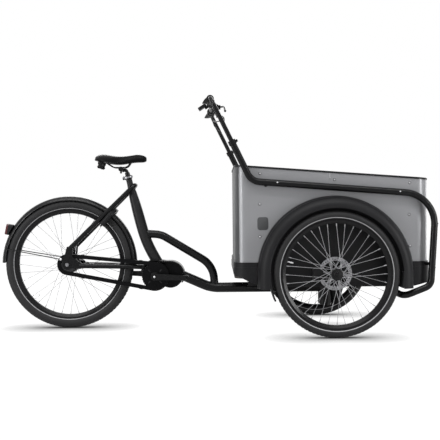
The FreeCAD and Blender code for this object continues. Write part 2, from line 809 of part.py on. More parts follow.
def saddle_rail(side):
    y = side * saddle_rail_half
    z = saddle_clamp_z + 8.0
    x = saddle_clamp_x
    points = [(x + 57, side * 12.0, z + 36), (x + 32, y, z), (x - 38, y, z), (x - 99, side * 34.0, z + 40)]
    return swept(points, [30.0, 40.0], saddle_rail_radius)


def saddle_rails():
    return Part.makeCompound([saddle_rail(side).cut(saddle()) for side in (1, -1)])


def saddle_section(x, half, top, bottom):
    """A crowned D: a wide arc over a straight base."""
    crown = Part.Arc(V(x, -half, bottom), V(x, 0, top), V(x, half, bottom)).toShape()
    return Part.Wire([crown, Part.makeLine(V(x, half, bottom), V(x, -half, bottom))])


def saddle():
    rear = saddle_clamp_x - 136.0
    # share of the length, half width, top and bottom above the clamp
    stations = ((0.0, 62, 65, 44), (0.1, 88, 77, 38), (0.28, 84, 74, 29), (0.45, 58, 67, 24),
                (0.62, 38, 69, 28), (0.82, 29, 76, 34), (0.94, 25, 74, 35), (1.0, 15, 64, 42))
    z = saddle_clamp_z
    sections = []
    for share, half, top, low in stations:
        sections.append(saddle_section(rear + share * saddle_length, half, z + top, z + low))
    return Part.makeLoft(sections, True, False)


def saddle_bumpers():
    """Two barrel elastomers under the saddle's back."""
    barrels = []
    for side in (1, -1):
        outline = [(0, -22), (9, -22), (14, -14), (10, -6), (14, 4), (14, 14), (0, 14)]
        wire = polygon([(r, 0, z) for r, z in outline])
        body = Part.Face(wire).revolve(V(0, 0, 0), V(0, 0, 1), 360)
        body.rotate(V(0, 0, 0), V(0, 1, 0), 12.0)
        body = at(body, saddle_clamp_x - 103, side * 50.0, saddle_clamp_z + 24)
        barrels.append(body.cut(saddle()))
    return Part.makeCompound([b.Solids[0] for b in barrels])


# Front module

def front_chassis():
    """Ladder of square tubes under the floor; the kingpin stands in its middle plate."""
    z0, z1 = chassis_bottom_z, floor_bottom_z
    half = chassis_tube / 2
    bore = half - frame_wall
    cross_x = (chassis_rear_x + half, pivot_x - 110, pivot_x + 110, chassis_front_x - half)
    tubes = []
    cores = []
    for s in (1, -1):
        y = s * chassis_half
        tubes.append(box(chassis_rear_x, chassis_front_x, y - half, y + half, z0, z1))
        low, high = z0 + frame_wall, z1 - frame_wall
        cores.append(box(chassis_rear_x, chassis_front_x, y - bore, y + bore, low, high))
    for x in cross_x:
        tubes.append(box(x - half, x + half, -chassis_half, chassis_half, z0, z1))
        inner = chassis_half - half
        cores.append(box(x - bore, x + bore, -inner, inner, z0 + frame_wall, z1 - frame_wall))
    plate = box(pivot_x - 110 + half, pivot_x + 110 - half, -70, 70, z0, z0 + 16)
    return fuse([fuse(tubes).cut(Part.makeCompound(cores)), plate, kingpin()])


def kingpin():
    """Pin with a retaining flange under the steering head."""
    top = chassis_bottom_z + 26.0
    low = head_bottom_z - side_gap
    pin = Part.makeCylinder(kingpin_radius, top - low, V(pivot_x, 0, low))
    flange = Part.makeCylinder(kingpin_flange_radius, kingpin_flange, V(pivot_x, 0, low - kingpin_flange))
    nut = Part.makeCylinder(kingpin_radius + 8, 10.0, V(pivot_x, 0, chassis_bottom_z + 16.0))
    return fuse([pin, flange, nut])


def carrier(side):
    """Bolted plate outside the wheel well with the stub axle and the caliper's arm."""
    y = well_back + arch_wall
    plate = polygon([(-58, y, -58), (58, y, -58), (44, y, 44), (-44, y, 44), (-92, y, 6), (-92, y, -40)])
    body = Part.Face(plate).extrude(V(0, carrier_thickness, 0))
    boss = Part.makeCylinder(20.0, carrier_boss, V(0, y, 0), V(0, 1, 0))
    body = at(fuse([body, boss, stub_axle()]), front_axle_x, 0, front_tyre_radius)
    return body if side > 0 else mirror(body)


def stub_axle():
    y = well_back + arch_wall
    pin = Part.makeCylinder(stub_radius, hub_outer_end - y + 2, V(0, y, 0), V(0, 1, 0))
    start = y + carrier_boss
    shoulder = Part.makeCylinder(14.0, hub_inner_end - side_gap - start, V(0, start, 0), V(0, 1, 0))
    nut = Part.makeCylinder(10.0, 10.0 - side_gap, V(0, hub_outer_end + side_gap, 0), V(0, 1, 0))
    nut = nut.makeFillet(3.0, [nut.Edges[0]])
    return fuse([pin, shoulder, nut])


def caliper(side):
    """Two-piston caliper that straddles the rotor behind the axle."""
    body = box(-106, -58, rotor_y - 17, rotor_y + 15, -34, 26)
    body = body.makeFillet(6.0, [e for e in body.Edges if abs(e.tangentAt(e.FirstParameter).y) > 0.9])
    slot = box(-90, -50, rotor_y - 3, rotor_y + 5, -60, 60)
    foot = box(-100, -70, well_back + arch_wall + carrier_thickness, rotor_y - 17, -30, 0)
    body = at(fuse([body.cut(slot), foot]), front_axle_x, 0, front_tyre_radius)
    return body if side > 0 else mirror(body)


def plan(grow):
    """Rounded outline of the box, grown by a distance, at Z = 0."""
    x0, x1, h = box_rear_x - grow, box_front_x + grow, box_half + grow
    r = box_corner + grow
    d = r * (1 - math.sqrt(0.5))
    edges = []
    corners = ((x1, h, -1, -1), (x0, h, 1, -1), (x0, -h, 1, 1), (x1, -h, -1, 1))
    for i, (x, y, sx, sy) in enumerate(corners):
        a = V(x, y + sy * r, 0)
        b = V(x + sx * r, y, 0)
        if i % 2:
            a, b = b, a
        edges.append(Part.Arc(a, V(x + sx * d, y + sy * d, 0), b).toShape())
        nx, ny, nsx, nsy = corners[(i + 1) % 4]
        after = V(nx + nsx * r, ny, 0) if i % 2 == 0 else V(nx, ny + nsy * r, 0)
        edges.append(Part.makeLine(b, after))
    return Part.Face(Part.Wire(edges))


def prism(grow, z0, z1):
    face = plan(grow)
    face.translate(V(0, 0, z0))
    return face.extrude(V(0, 0, z1 - z0))


def below_slope(raise_by):
    """Everything under the box's sloping top plane."""
    run = box_front_x - box_rear_x
    slope = (box_top_front_z - box_top_rear_z) / run
    x0, x1 = -beyond, beyond
    z0 = box_top_rear_z + raise_by + (x0 - box_rear_x) * slope
    z1 = box_top_rear_z + raise_by + (x1 - box_rear_x) * slope
    side = polygon([(x0, -beyond, 0), (x1, -beyond, 0), (x1, -beyond, z1), (x0, -beyond, z0)])
    return Part.Face(side).extrude(V(0, 2 * beyond, 0))


def side_walls_only(shape):
    """Keep what lies outside the box's flat middle, so that a cut reaches its side walls alone."""
    inner = box_half - box_corner
    return shape.cut(box(-beyond, beyond, -inner, inner, -beyond, beyond))


def arch_round(radius):
    return Part.makeCylinder(radius, 2 * beyond, V(front_axle_x, -beyond, front_tyre_radius), V(0, 1, 0))


def arch_room():
    """Space the arch moulding takes in the skirt: its half round and its straight legs."""
    r = arch_radius + arch_rim + arch_gap
    legs = box(front_axle_x - r, front_axle_x + r, -beyond, beyond, 0, front_tyre_radius)
    return side_walls_only(fuse([arch_round(r), legs]))


def panel_ring():
    ring = prism(0, panel_bottom_z, beyond).cut(prism(-panel_wall, panel_bottom_z, beyond))
    return ring.common(below_slope(0)).cut(side_walls_only(arch_round(arch_radius)))


def panel(x0, x1, side=0):
    low = -beyond if side <= 0 else 0
    high = beyond if side >= 0 else 0
    return panel_ring().common(box(x0, x1, low, high, 0, beyond))


def top_trim():
    ring = prism(trim_lip, panel_bottom_z, beyond).cut(prism(-panel_wall - trim_lip, panel_bottom_z, beyond))
    return ring.common(below_slope(trim_height)).cut(below_slope(0))


def lower_skirt():
    """Lower moulding: stepped band on a wall whose foot rises behind and ahead of the wheels."""
    band_z = panel_bottom_z - skirt_band
    band = prism(skirt_reach - skirt_step, band_z, panel_bottom_z).cut(prism(-panel_wall, 0, beyond))
    wall = prism(skirt_reach, skirt_bottom_z, band_z).cut(prism(skirt_reach - skirt_wall, 0, beyond))
    foot = skirt_bottom_z - 1
    rear_x, front_x = box_rear_x - 25, box_front_x + 45
    corner = (box_rear_x + 140, -beyond, foot)
    rear = polygon([(rear_x, -beyond, foot + 76), corner, (rear_x, -beyond, foot)])
    front = polygon([(box_front_x - 110, -beyond, foot), (box_front_x - 25, -beyond, foot + 20),
                     (front_x, -beyond, foot + 28), (front_x, -beyond, foot)])
    cuts = [Part.Face(outline).extrude(V(0, 2 * beyond, 0)) for outline in (rear, front)]
    return fuse([band, wall]).cut(Part.makeCompound(cuts)).cut(arch_room())


def box_floor():
    plate = prism(skirt_reach - skirt_wall, floor_bottom_z, floor_top_z)
    reach = arch_radius + arch_rim + arch_gap
    for side in (1, -1):
        y0, y1 = sorted((side * (well_back - side_gap), side * beyond))
        plate = plate.cut(box(front_axle_x - reach, front_axle_x + reach, y0, y1, 0, beyond))
    return plate


def wheel_well():
    """Shallow bucket behind the wheel: a curved wall and a flat back, open below."""
    centre = V(front_axle_x, well_back, front_tyre_radius)
    radius = arch_radius - side_gap
    outer = Part.makeCylinder(radius, well_depth, centre, V(0, 1, 0))
    inner = Part.makeCylinder(radius - arch_wall, box_half, centre + V(0, arch_wall, 0), V(0, 1, 0))
    low = box(-beyond, beyond, -beyond, beyond, -beyond, skirt_bottom_z)
    return outer.cut(inner).cut(low)


def arch_profile():
    """Flared section from the box wall to the lip, with a crease a third of the way out."""
    top = arch_radius + arch_rim
    root = arch_radius - side_gap - arch_wall
    lip = arch_lip_radius
    crease_y = box_half + arch_width * 0.42
    crease_r = arch_radius
    end = arch_reach - 2
    middle = V(top + 0.6, (box_half + crease_y) / 2, 0)
    first = Part.Arc(V(top, box_half, 0), middle, V(crease_r, crease_y, 0))
    fall = V(crease_r - arch_crease, crease_y + arch_crease, 0)
    last = Part.Arc(fall, V((crease_r + lip) / 2 + 13, arch_reach - 15, 0), V(lip + 5, arch_reach, 0))
    inner = Part.Arc(V(lip, end, 0), V((root + lip) / 2 + 11, arch_reach - 24, 0), V(root, box_half, 0))
    lines = [(V(crease_r, crease_y, 0), fall), (V(lip + 5, arch_reach, 0), V(lip, end, 0)),
             (V(root, box_half, 0), V(top, box_half, 0))]
    edges = [arc.toShape() for arc in (first, last, inner)]
    edges += [Part.makeLine(a, b) for a, b in lines]
    return Part.Wire(Part.__sortEdges__(edges))


def wheel_arch(side):
    """Flared moulding over the wheel with straight legs, a mud flap and the bucket behind the wheel."""
    drop = front_tyre_radius - skirt_bottom_z
    hood = turned(arch_profile(), 0.0, 180.0)
    leg = Part.Face(arch_profile()).extrude(V(0, 0, -drop))
    back = leg.copy()
    back.rotate(V(0, 0, 0), V(0, 0, 1), 180.0)
    back = mirror(back)
    inner = arch_lip_radius - 2
    outer = inner + flap_thickness
    flap = lines_profile([(inner, box_half), (outer, box_half), (outer, arch_reach), (inner, arch_reach)])
    flaps = [turned(flap, 178.0, 25.0), turned(flap, -12.0, 14.0)]
    body = fuse([hood, leg, back] + flaps)
    body = fuse([at(body, front_axle_x, 0, front_tyre_radius), wheel_well()])
    body = body.cut(swept(rail_points(), rail_bends(), rail_radius + side_gap)).Solids[0]
    return body if side > 0 else mirror(body)


def rotor():
    """Brake disc: a pierced friction ring on six swept arms."""
    outer, inner, eye, bore = 80.0, 62.0, 24.0, 17.0
    half = rotor_thickness
    ring = Part.makeCylinder(outer, half, V(0, 0, 0), V(0, 1, 0))
    ring = ring.cut(Part.makeCylinder(inner, half, V(0, 0, 0), V(0, 1, 0)))
    hub_ring = Part.makeCylinder(eye, half, V(0, 0, 0), V(0, 1, 0))
    pieces = [ring, hub_ring]
    for i in range(6):
        arm = Part.Face(polygon([(8, 0, 14), (66, 0, -8), (66, 0, -19), (8, 0, 4)])).extrude(V(0, half, 0))
        arm.rotate(V(0, 0, 0), V(0, 1, 0), 60.0 * i)
        pieces.append(arm)
    body = fuse(pieces).cut(Part.makeCylinder(bore, half, V(0, 0, 0), V(0, 1, 0)))
    holes = []
    for i in range(36):
        r = (67.0, 71.0, 75.0)[i % 3]
        a = math.radians(10.0 * i)
        start = V(r * math.cos(a), -half, r * math.sin(a))
        holes.append(Part.makeCylinder(2.2, 4 * half, start, V(0, 1, 0)))
    for i in range(6):
        a = math.radians(60.0 * i + 30)
        start = V(20.5 * math.cos(a), -half, 20.5 * math.sin(a))
        holes.append(Part.makeCylinder(2.6, 4 * half, start, V(0, 1, 0)))
    return body.cut(Part.makeCompound(holes))


def front_hub():
    """Disc hub on a stub axle; positions along Y are measured from the tyre's middle plane."""
    left = hub_outer_end - front_track_half
    right = hub_inner_end - front_track_half
    body = hub(17.0, 24.0, 15.0, left, right, stub_radius + running_gap)
    rotor_seat = Part.makeCylinder(24.0, 4.0, V(0, right, 0), V(0, 1, 0))
    bore = Part.makeCylinder(stub_radius + running_gap, 300, V(0, -150, 0), V(0, 1, 0))
    return fuse([body, rotor_seat]).cut(bore)


def front_piece(shape, side):
    placed = at(shape, front_axle_x, front_track_half, front_tyre_radius)
    return placed if side > 0 else mirror(placed)


# Rails, handlebar and controls

def bar_x():
    return clamp_x - (bar_z - clamp_z) * rail_lean()


def rail_lean():
    return (rail_corner_x - clamp_x) / (clamp_z - rail_corner_z)


def upright_axis():
    return V(rail_corner_x - clamp_x, 0, rail_corner_z - clamp_z).normalize()


def rail_points():
    """From the clamp down the upright, along the box, down its front and back under the chassis."""
    y = rail_half
    return [(clamp_x, y, clamp_z), (rail_corner_x, y, rail_corner_z),
            (box_front_x + 27, y, box_top_front_z - 72), (box_front_x, y, skirt_bottom_z + 9),
            (chassis_front_x - 60, y - 6, chassis_bottom_z - 50),
            (chassis_front_x - 117, chassis_half, chassis_bottom_z - 12)]


def rail_bends():
    return [rail_bend, rail_front_bend, 45.0, 50.0]


def rail_blank():
    return swept(rail_points(), rail_bends(), rail_radius)


def side_rail(side):
    body = rail_blank().cut(swept(rail_points(), rail_bends(), upright_radius + running_gap))
    chassis = box(chassis_rear_x, chassis_front_x, 0, beyond, chassis_bottom_z, floor_bottom_z)
    body = body.cut(chassis)
    return body if side > 0 else mirror(body)


def rail_spacers():
    """Bosses that carry the rails off the box: a low one behind, one ahead and one at the skirt's corner."""
    bosses = []
    top_a, top_b = rail_points()[1], rail_points()[2]
    slope = (top_b[2] - top_a[2]) / (top_b[0] - top_a[0])
    for x, drop in ((box_rear_x + 148, 12.0), (box_front_x - 155, 0.0)):
        z = top_a[2] + slope * (x - top_a[0]) - drop
        boss = rod((x, box_half, z), (x, rail_half, z), 9.0).cut(rail_blank())
        bosses.append(boss.Solids[0])
    low_a, low_b = rail_points()[2], rail_points()[3]
    z = panel_bottom_z - skirt_band / 2
    x = low_b[0] + (low_a[0] - low_b[0]) * (z - low_b[2]) / (low_a[2] - low_b[2])
    corner_x, corner_y = box_front_x - box_corner, box_half - box_corner
    reach = box_corner + skirt_reach - skirt_step
    share = reach / math.hypot(x - corner_x, rail_half - corner_y)
    start = (corner_x + (x - corner_x) * share, corner_y + (rail_half - corner_y) * share, z)
    boss = rod(start, (x, rail_half, z), 8.0).cut(rail_blank())
    boss = boss.cut(prism(skirt_reach - skirt_step, 0, beyond))
    bosses.append(boss.Solids[0])
    return Part.makeCompound(bosses + [mirror(b) for b in bosses])


def rail_clamps():
    """Split collars that grip the uprights at the rails' upper ends."""
    along = upright_axis()
    collars = []
    for side in (1, -1):
        top = V(clamp_x, side * rail_half, clamp_z)
        ring = Part.makeCylinder(rail_radius + 3, 22.0, top - along * 6, along)
        ear = Part.makeBox(13, 16, 12, V(rail_radius - 2, -8, 0))
        ear.rotate(V(0, 0, 0), V(0, 1, 0), -math.degrees(math.atan2(along.x, -along.z)))
        ear.translate(top + along * 12)
        bore = Part.makeCylinder(rail_radius, 60.0, top, along)
        slim = Part.makeCylinder(upright_radius + running_gap, 80.0, top - along * 30, along)
        collars.append(fuse([ring, ear]).cut(bore).cut(slim))
    return Part.makeCompound(collars)


def handlebar():
    """One bent tube: two uprights that slide in the rails and the bar between them."""
    low = V(clamp_x, rail_half, clamp_z) + upright_axis() * upright_insert
    points = [tuple(low), (bar_x(), rail_half, bar_z), (bar_x(), -rail_half, bar_z)]
    points.append((low.x, -rail_half, low.z))
    return tube(points, [bar_bend, bar_bend], upright_radius, upright_wall)


def grip(side):
    """Sleeve with a flattened palm wing towards the rider, widest near its outer end."""
    y1 = grip_outer
    y0 = y1 - grip_length
    sleeve = Part.makeCylinder(grip_radius, grip_length, V(0, y0, 0), V(0, 1, 0))
    flange = Part.makeCylinder(grip_radius + 4, 5.0, V(0, y0, 0), V(0, 1, 0))
    sections = []
    stations = ((0.0, 20.0, 15.0), (0.45, 27.0, 14.0), (0.8, grip_wing, 13.0), (1.0, grip_wing - 4, 12.0))
    for share, reach, thick in stations:
        y = y0 + share * grip_length
        up = Part.Arc(V(4, y, thick), V(-reach * 0.5, y, thick * 0.95), V(-reach, y, 0)).toShape()
        down = Part.Arc(V(-reach, y, 0), V(-reach * 0.5, y, -thick * 0.95), V(4, y, -thick)).toShape()
        sections.append(Part.Wire([up, down, Part.makeLine(V(4, y, -thick), V(4, y, thick))]))
    wing = Part.makeLoft(sections, True, False)
    body = fuse([sleeve, flange, wing])
    body.rotate(V(0, 0, 0), V(0, 1, 0), -28.0)
    body = body.cut(Part.makeCylinder(upright_radius, 2 * beyond, V(0, -beyond, 0), V(0, 1, 0)))
    body = at(body, bar_x(), 0, bar_z)
    return body if side > 0 else mirror(body)


def lever_pivot():
    return V(bar_x() + 42.0, lever_y + 8.0, bar_z - 24.0)


def lever_body(side):
    """Clamp and master cylinder of the brake, with a slot for the lever's root."""
    clamp = Part.makeCylinder(upright_radius + 6, 18.0, V(bar_x(), lever_y - 9, bar_z), V(0, 1, 0))
    p = lever_pivot()
    barrel = rod((bar_x() + 20, lever_y - 52, bar_z - 10), (bar_x() + 34, lever_y + 14, bar_z - 20), 9.0)
    arm = Part.makeCylinder(8.0, 30.0, V(bar_x() + 10, lever_y, bar_z - 4), V(1, 0, -0.5))
    ears = box(p.x - 14, p.x + 8, p.y - 9, p.y + 9, p.z - 10, p.z + 10)
    slot = box(p.x - 10, p.x + 30, p.y - 30, p.y + 60, p.z - 5.5, p.z + 5.5)
    body = fuse([clamp, barrel, arm, ears]).cut(slot)
    body = body.cut(Part.makeCylinder(upright_radius, 200, V(bar_x(), lever_y - 100, bar_z), V(0, 1, 0)))
    pin = Part.makeCylinder(lever_pivot_radius, 22.0, p - V(0, 0, 11))
    body = fuse([body, pin])
    return body if side > 0 else mirror(body)


def brake_lever(side):
    """Two-finger blade that swings about its pin towards the bar."""
    p = lever_pivot()
    root = Part.makeCylinder(8.0, 9.0, V(p.x, p.y, p.z - 4.5))
    blade = swept([(p.x, p.y, p.z), (p.x + 26, p.y + 40, p.z), (p.x + 30, p.y + 100, p.z - 30)], [60.0], 4.4)
    tip = Part.makeSphere(6.0, V(p.x + 30, p.y + 100, p.z - 30))
    hole = Part.makeCylinder(lever_pivot_radius + running_gap, 60, V(p.x, p.y, p.z - 30))
    body = fuse([root, blade, tip]).cut(hole)
    return body if side > 0 else mirror(body)


def control_unit():
    """Slim display and gear control on the bar beside the right grip, tilted to the rider."""
    face = box(-64, -20, -27, 27, 6, 20)
    face = face.makeFillet(5.0, [e for e in face.Edges if abs(e.tangentAt(e.FirstParameter).z) > 0.9])
    arm = box(-34, -8, -8, 8, -6, 8)
    clamp = Part.makeCylinder(upright_radius + 5, 20.0, V(0, -10, 0), V(0, 1, 0))
    bore = Part.makeCylinder(upright_radius, 200, V(0, -100, 0), V(0, 1, 0))
    body = fuse([face, arm, clamp]).cut(bore)
    body.rotate(V(0, 0, 0), V(0, 1, 0), -34.0)
    return at(body, bar_x(), -control_y, bar_z)


def hose(side):
    x, y, z = bar_x(), lever_y, bar_z
    end_y = rail_half - upright_radius + 2
    points = [(x + 20, y - 50, z - 10), (x + 10, y * 0.41, z - 14), (x + 8, y * 0.265, z - 50),
              (x + 14, y * 0.47, z - 88), (x + 40, y + 60, z - 98), (x + 58, end_y - 40, z - 108),
              (x + 62, end_y, z - 116)]
    body = swept(points, [22.0, 20.0, 30.0, 60.0, 40.0], 2.6)
    return body if side > 0 else mirror(body)


def brake_hoses():
    hoses = []
    for side in (1, -1):
        hoses.append(hose(side).cut(handlebar()).cut(lever_body(side)).Solids[0])
    return Part.makeCompound(hoses)


def pair(piece):
    return Part.makeCompound([piece(1), piece(-1)])


def side_panels():
    """Four grey panels, two a side, parted by a thin seam over the arch."""
    panels = []
    for side in (1, -1):
        panels.append(panel(rear_panel_edge_x, side_seam_x - panel_seam, side))
        panels.append(panel(side_seam_x, front_panel_edge_x, side))
    return Part.makeCompound(panels)


def rear_wheel():
    place = (rear_axle_x, 0, rear_tyre_radius)
    return {
        "rear_tyre": at(tyre(rear_tyre_radius, rear_bead_radius), *place),
        "rear_rim": at(rim(rear_bead_radius), *place),
        "rear_spokes": at(spokes(rear_bead_radius, 44.0, 30.0, 40.0), *place),
        "rear_hub": at(rear_hub(), *place),
    }


def front_wheel(side):
    name = "left" if side > 0 else "right"
    disc = at(rotor(), 0, rotor_y - front_track_half, 0)
    return {
        name + "_tyre": front_piece(tyre(front_tyre_radius, front_bead_radius), side),
        name + "_rim": front_piece(rim(front_bead_radius), side),
        name + "_spokes": front_piece(spokes(front_bead_radius, 24.0, 15.0, 60.0), side),
        name + "_hub": front_piece(front_hub(), side),
        name + "_rotor": front_piece(disc, side),
    }


def build():
    nodes = {
        "seat_tube": seat_tube(),
        "loop_tube": loop_tube(),
        "main_beam": main_beam(),
        "steering_head": steering_head(),
        "motor_bracket": motor_bracket(),
        "motor_housing": motor_housing(),
        "chain_stays": chain_stays(),
        "seat_stays": seat_stays(),
        "dropouts": dropouts(),
        "rear_axle": rear_axle(),
        "chain_case": chain_case(),
        "drive_chain": drive_chain(),
        "chainring": chainring(),
        "rear_sprocket": rear_sprocket(),
        "crank_right": crank(-1),
        "crank_left": crank(1),
        "rear_fender": rear_fender(),
        "fender_stays": fender_stays(),
        "tail_light_housing": tail_light(False),
        "tail_light_lens": tail_light(True),
        "ring_lock": ring_lock(),
        "seat_clamp": seat_clamp(),
        "seat_clamp_lever": seat_clamp_lever(),
        "seat_post": seat_post(),
        "saddle_rails": saddle_rails(),
        "saddle": saddle(),
        "saddle_bumpers": saddle_bumpers(),
        "front_chassis": front_chassis(),
        "hub_carriers": pair(carrier),
        "brake_calipers": pair(caliper),
        "box_floor": box_floor(),
        "rear_panel": panel(-beyond, rear_panel_edge_x - panel_seam),
        "front_panel": panel(front_panel_edge_x + panel_seam, beyond),
        "side_panels": side_panels(),
        "top_trim": top_trim(),
        "lower_skirt": lower_skirt(),
        "wheel_arches": pair(wheel_arch),
        "side_rails": pair(side_rail),
        "rail_fittings": Part.makeCompound([rail_spacers(), rail_clamps()]),
        "handlebar": handlebar(),
        "grips": pair(grip),
        "lever_bodies": pair(lever_body),
        "brake_lever_left": brake_lever(1),
        "brake_lever_right": brake_lever(-1),
        "control_unit": control_unit(),
        "brake_hoses": brake_hoses(),
    }
    nodes.update(rear_wheel())
    nodes.update(front_wheel(1))
    nodes.update(front_wheel(-1))
    return nodes


def main():
    os.makedirs("parts", exist_ok=True)
    nodes = build()
    rear_end = nodes["rear_fender"].optimalBoundingBox().XMin
    front_end = nodes["side_rails"].optimalBoundingBox().XMax
    shift = -(rear_end + front_end) / 2
    for name, shape in nodes.items():
        at(shape, shift, 0, 0).exportStep("parts/" + name + ".step")
    print("whole part moved along X by", round(shift, 4))


main()
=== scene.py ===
import bmesh
import bpy
import json
import math
import numpy as np
from mathutils import Matrix, Vector


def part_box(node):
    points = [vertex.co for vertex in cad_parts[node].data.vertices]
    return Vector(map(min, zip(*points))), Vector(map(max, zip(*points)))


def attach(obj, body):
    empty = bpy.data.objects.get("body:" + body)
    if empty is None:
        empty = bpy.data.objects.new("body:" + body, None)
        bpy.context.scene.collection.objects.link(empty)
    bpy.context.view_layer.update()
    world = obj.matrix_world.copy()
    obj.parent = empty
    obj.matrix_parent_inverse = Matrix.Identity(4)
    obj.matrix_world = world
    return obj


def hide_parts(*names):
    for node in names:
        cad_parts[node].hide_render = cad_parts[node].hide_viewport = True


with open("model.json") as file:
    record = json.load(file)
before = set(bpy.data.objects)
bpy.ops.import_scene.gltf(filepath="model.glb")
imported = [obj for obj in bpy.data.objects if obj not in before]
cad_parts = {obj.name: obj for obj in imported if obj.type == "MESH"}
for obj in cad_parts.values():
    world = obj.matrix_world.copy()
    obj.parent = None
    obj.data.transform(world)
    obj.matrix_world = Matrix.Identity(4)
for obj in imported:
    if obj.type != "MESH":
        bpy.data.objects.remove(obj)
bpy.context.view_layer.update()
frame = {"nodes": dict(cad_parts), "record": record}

nodes = frame["nodes"]
joints = {joint["name"]: joint for joint in frame["record"]["behaviour"]["joints"]}
axles = {which: joints[which + "_wheel_spin"]["pos_m"] for which in ("rear", "left", "right")}
print("frame loaded:", len(nodes), "nodes")

# camera at the photograph's place: position in metres, angles in degrees, lens and sensor in mm
cameraSet = {"place": (0.042, -4.099, 0.617), "yaw": 0.13, "pitch": -0.87, "roll": 0.51, "lens": 64.2,
             "sensor": 36.0, "clip": 60.0}


def placeCamera(values):
    yaw, pitch, roll = (math.radians(values[k]) for k in ("yaw", "pitch", "roll"))
    ahead = Vector((math.sin(yaw) * math.cos(pitch), math.cos(yaw) * math.cos(pitch), math.sin(pitch)))
    right = ahead.cross(Vector((0, 0, 1))).normalized()
    down = ahead.cross(right)
    across = right * math.cos(roll) + down * math.sin(roll)
    up = right * math.sin(roll) - down * math.cos(roll)
    data = bpy.data.cameras.new("photoCamera")
    data.lens = values["lens"]
    data.sensor_width = values["sensor"]
    data.clip_end = values["clip"]
    cam = bpy.data.objects.new("photoCamera", data)
    turn = Matrix((across, up, -ahead)).transposed().to_4x4()
    cam.matrix_world = Matrix.Translation(Vector(values["place"])) @ turn
    bpy.context.scene.collection.objects.link(cam)
    bpy.context.scene.camera = cam


placeCamera(cameraSet)
print("camera set")

# materials: fine noise drives the relief, broad noise drives the roughness and a slight change of colour
finishSet = {"coatRoughness": 0.12, "fineDetail": 3.0, "broadScale": 7.0, "broadDetail": 4.0, "depth": 0.0006,
             "smoothest": 0.02}
turnedSet = {"lines": 900.0, "relief": 0.25}
mixPort = {"factor": 0, "first": 6, "second": 7, "result": 2}  # a colour mix node's sockets by place


def colourMix(tree):
    mix = tree.nodes.new("ShaderNodeMix")
    mix.data_type = "RGBA"
    return mix


def mathNode(tree, operation):
    node = tree.nodes.new("ShaderNodeMath")
    node.operation = operation
    return node


def vectorNode(tree, operation):
    node = tree.nodes.new("ShaderNodeVectorMath")
    node.operation = operation
    return node


def newFinish(name, colour, roughness, metallic=0.0, specular=0.5, grain=900.0, bump=0.05, vary=0.15, spread=0.06,
              coat=0.0):
    mat = bpy.data.materials.new(name)
    mat.use_nodes = True
    tree = mat.node_tree
    shader = tree.nodes["Principled BSDF"]
    shader.inputs["Metallic"].default_value = metallic
    shader.inputs["Specular IOR Level"].default_value = specular
    shader.inputs["Coat Weight"].default_value = coat
    shader.inputs["Coat Roughness"].default_value = finishSet["coatRoughness"]
    coords = tree.nodes.new("ShaderNodeTexCoord")
    fine = tree.nodes.new("ShaderNodeTexNoise")
    fine.inputs["Scale"].default_value = grain
    fine.inputs["Detail"].default_value = finishSet["fineDetail"]
    broad = tree.nodes.new("ShaderNodeTexNoise")
    broad.inputs["Scale"].default_value = finishSet["broadScale"]
    broad.inputs["Detail"].default_value = finishSet["broadDetail"]
    tree.links.new(coords.outputs["Object"], broad.inputs["Vector"])
    tree.links.new(coords.outputs["Object"], fine.inputs["Vector"])
    ramp = tree.nodes.new("ShaderNodeMapRange")
    ramp.inputs["To Min"].default_value = max(finishSet["smoothest"], roughness - spread)
    ramp.inputs["To Max"].default_value = min(1.0, roughness + spread)
    tree.links.new(broad.outputs["Fac"], ramp.inputs["Value"])
    tree.links.new(ramp.outputs["Result"], shader.inputs["Roughness"])
    tint = colourMix(tree)
    tint.inputs[mixPort["first"]].default_value = tuple(c * (1 - vary) for c in colour) + (1.0,)
    tint.inputs[mixPort["second"]].default_value = tuple(min(1.0, c * (1 + vary)) for c in colour) + (1.0,)
    tree.links.new(broad.outputs["Fac"], tint.inputs[mixPort["factor"]])
    tree.links.new(tint.outputs[mixPort["result"]], shader.inputs["Base Color"])
    relief = tree.nodes.new("ShaderNodeBump")
    relief.inputs["Strength"].default_value = bump
    relief.inputs["Distance"].default_value = finishSet["depth"]
    tree.links.new(fine.outputs["Fac"], relief.inputs["Height"])
    tree.links.new(relief.outputs["Normal"], shader.inputs["Normal"])
    return mat


def turnedSteel(name, base, axle, values):
    # a copy of a finish whose relief runs in rings: noise read along the distance from the axle alone
    mat = base.copy()
    mat.name = name
    tree = mat.node_tree
    coords = tree.nodes.new("ShaderNodeTexCoord")
    offset = vectorNode(tree, "SUBTRACT")
    offset.inputs[1].default_value = axle
    flat = vectorNode(tree, "MULTIPLY")
    flat.inputs[1].default_value = (1.0, 0.0, 1.0)
    far = vectorNode(tree, "LENGTH")
    rings = tree.nodes.new("ShaderNodeTexNoise")
    rings.noise_dimensions = "1D"
    rings.inputs["Scale"].default_value = values["lines"]
    tree.links.new(coords.outputs["Object"], offset.inputs[0])
    tree.links.new(offset.outputs[0], flat.inputs[0])
    tree.links.new(flat.outputs[0], far.inputs[0])
    tree.links.new(far.outputs["Value"], rings.inputs["W"])
    relief = [node for node in tree.nodes if node.type == "BUMP"][0]
    relief.inputs["Strength"].default_value = values["relief"]
    tree.links.new(rings.outputs["Fac"], relief.inputs["Height"])
    return mat


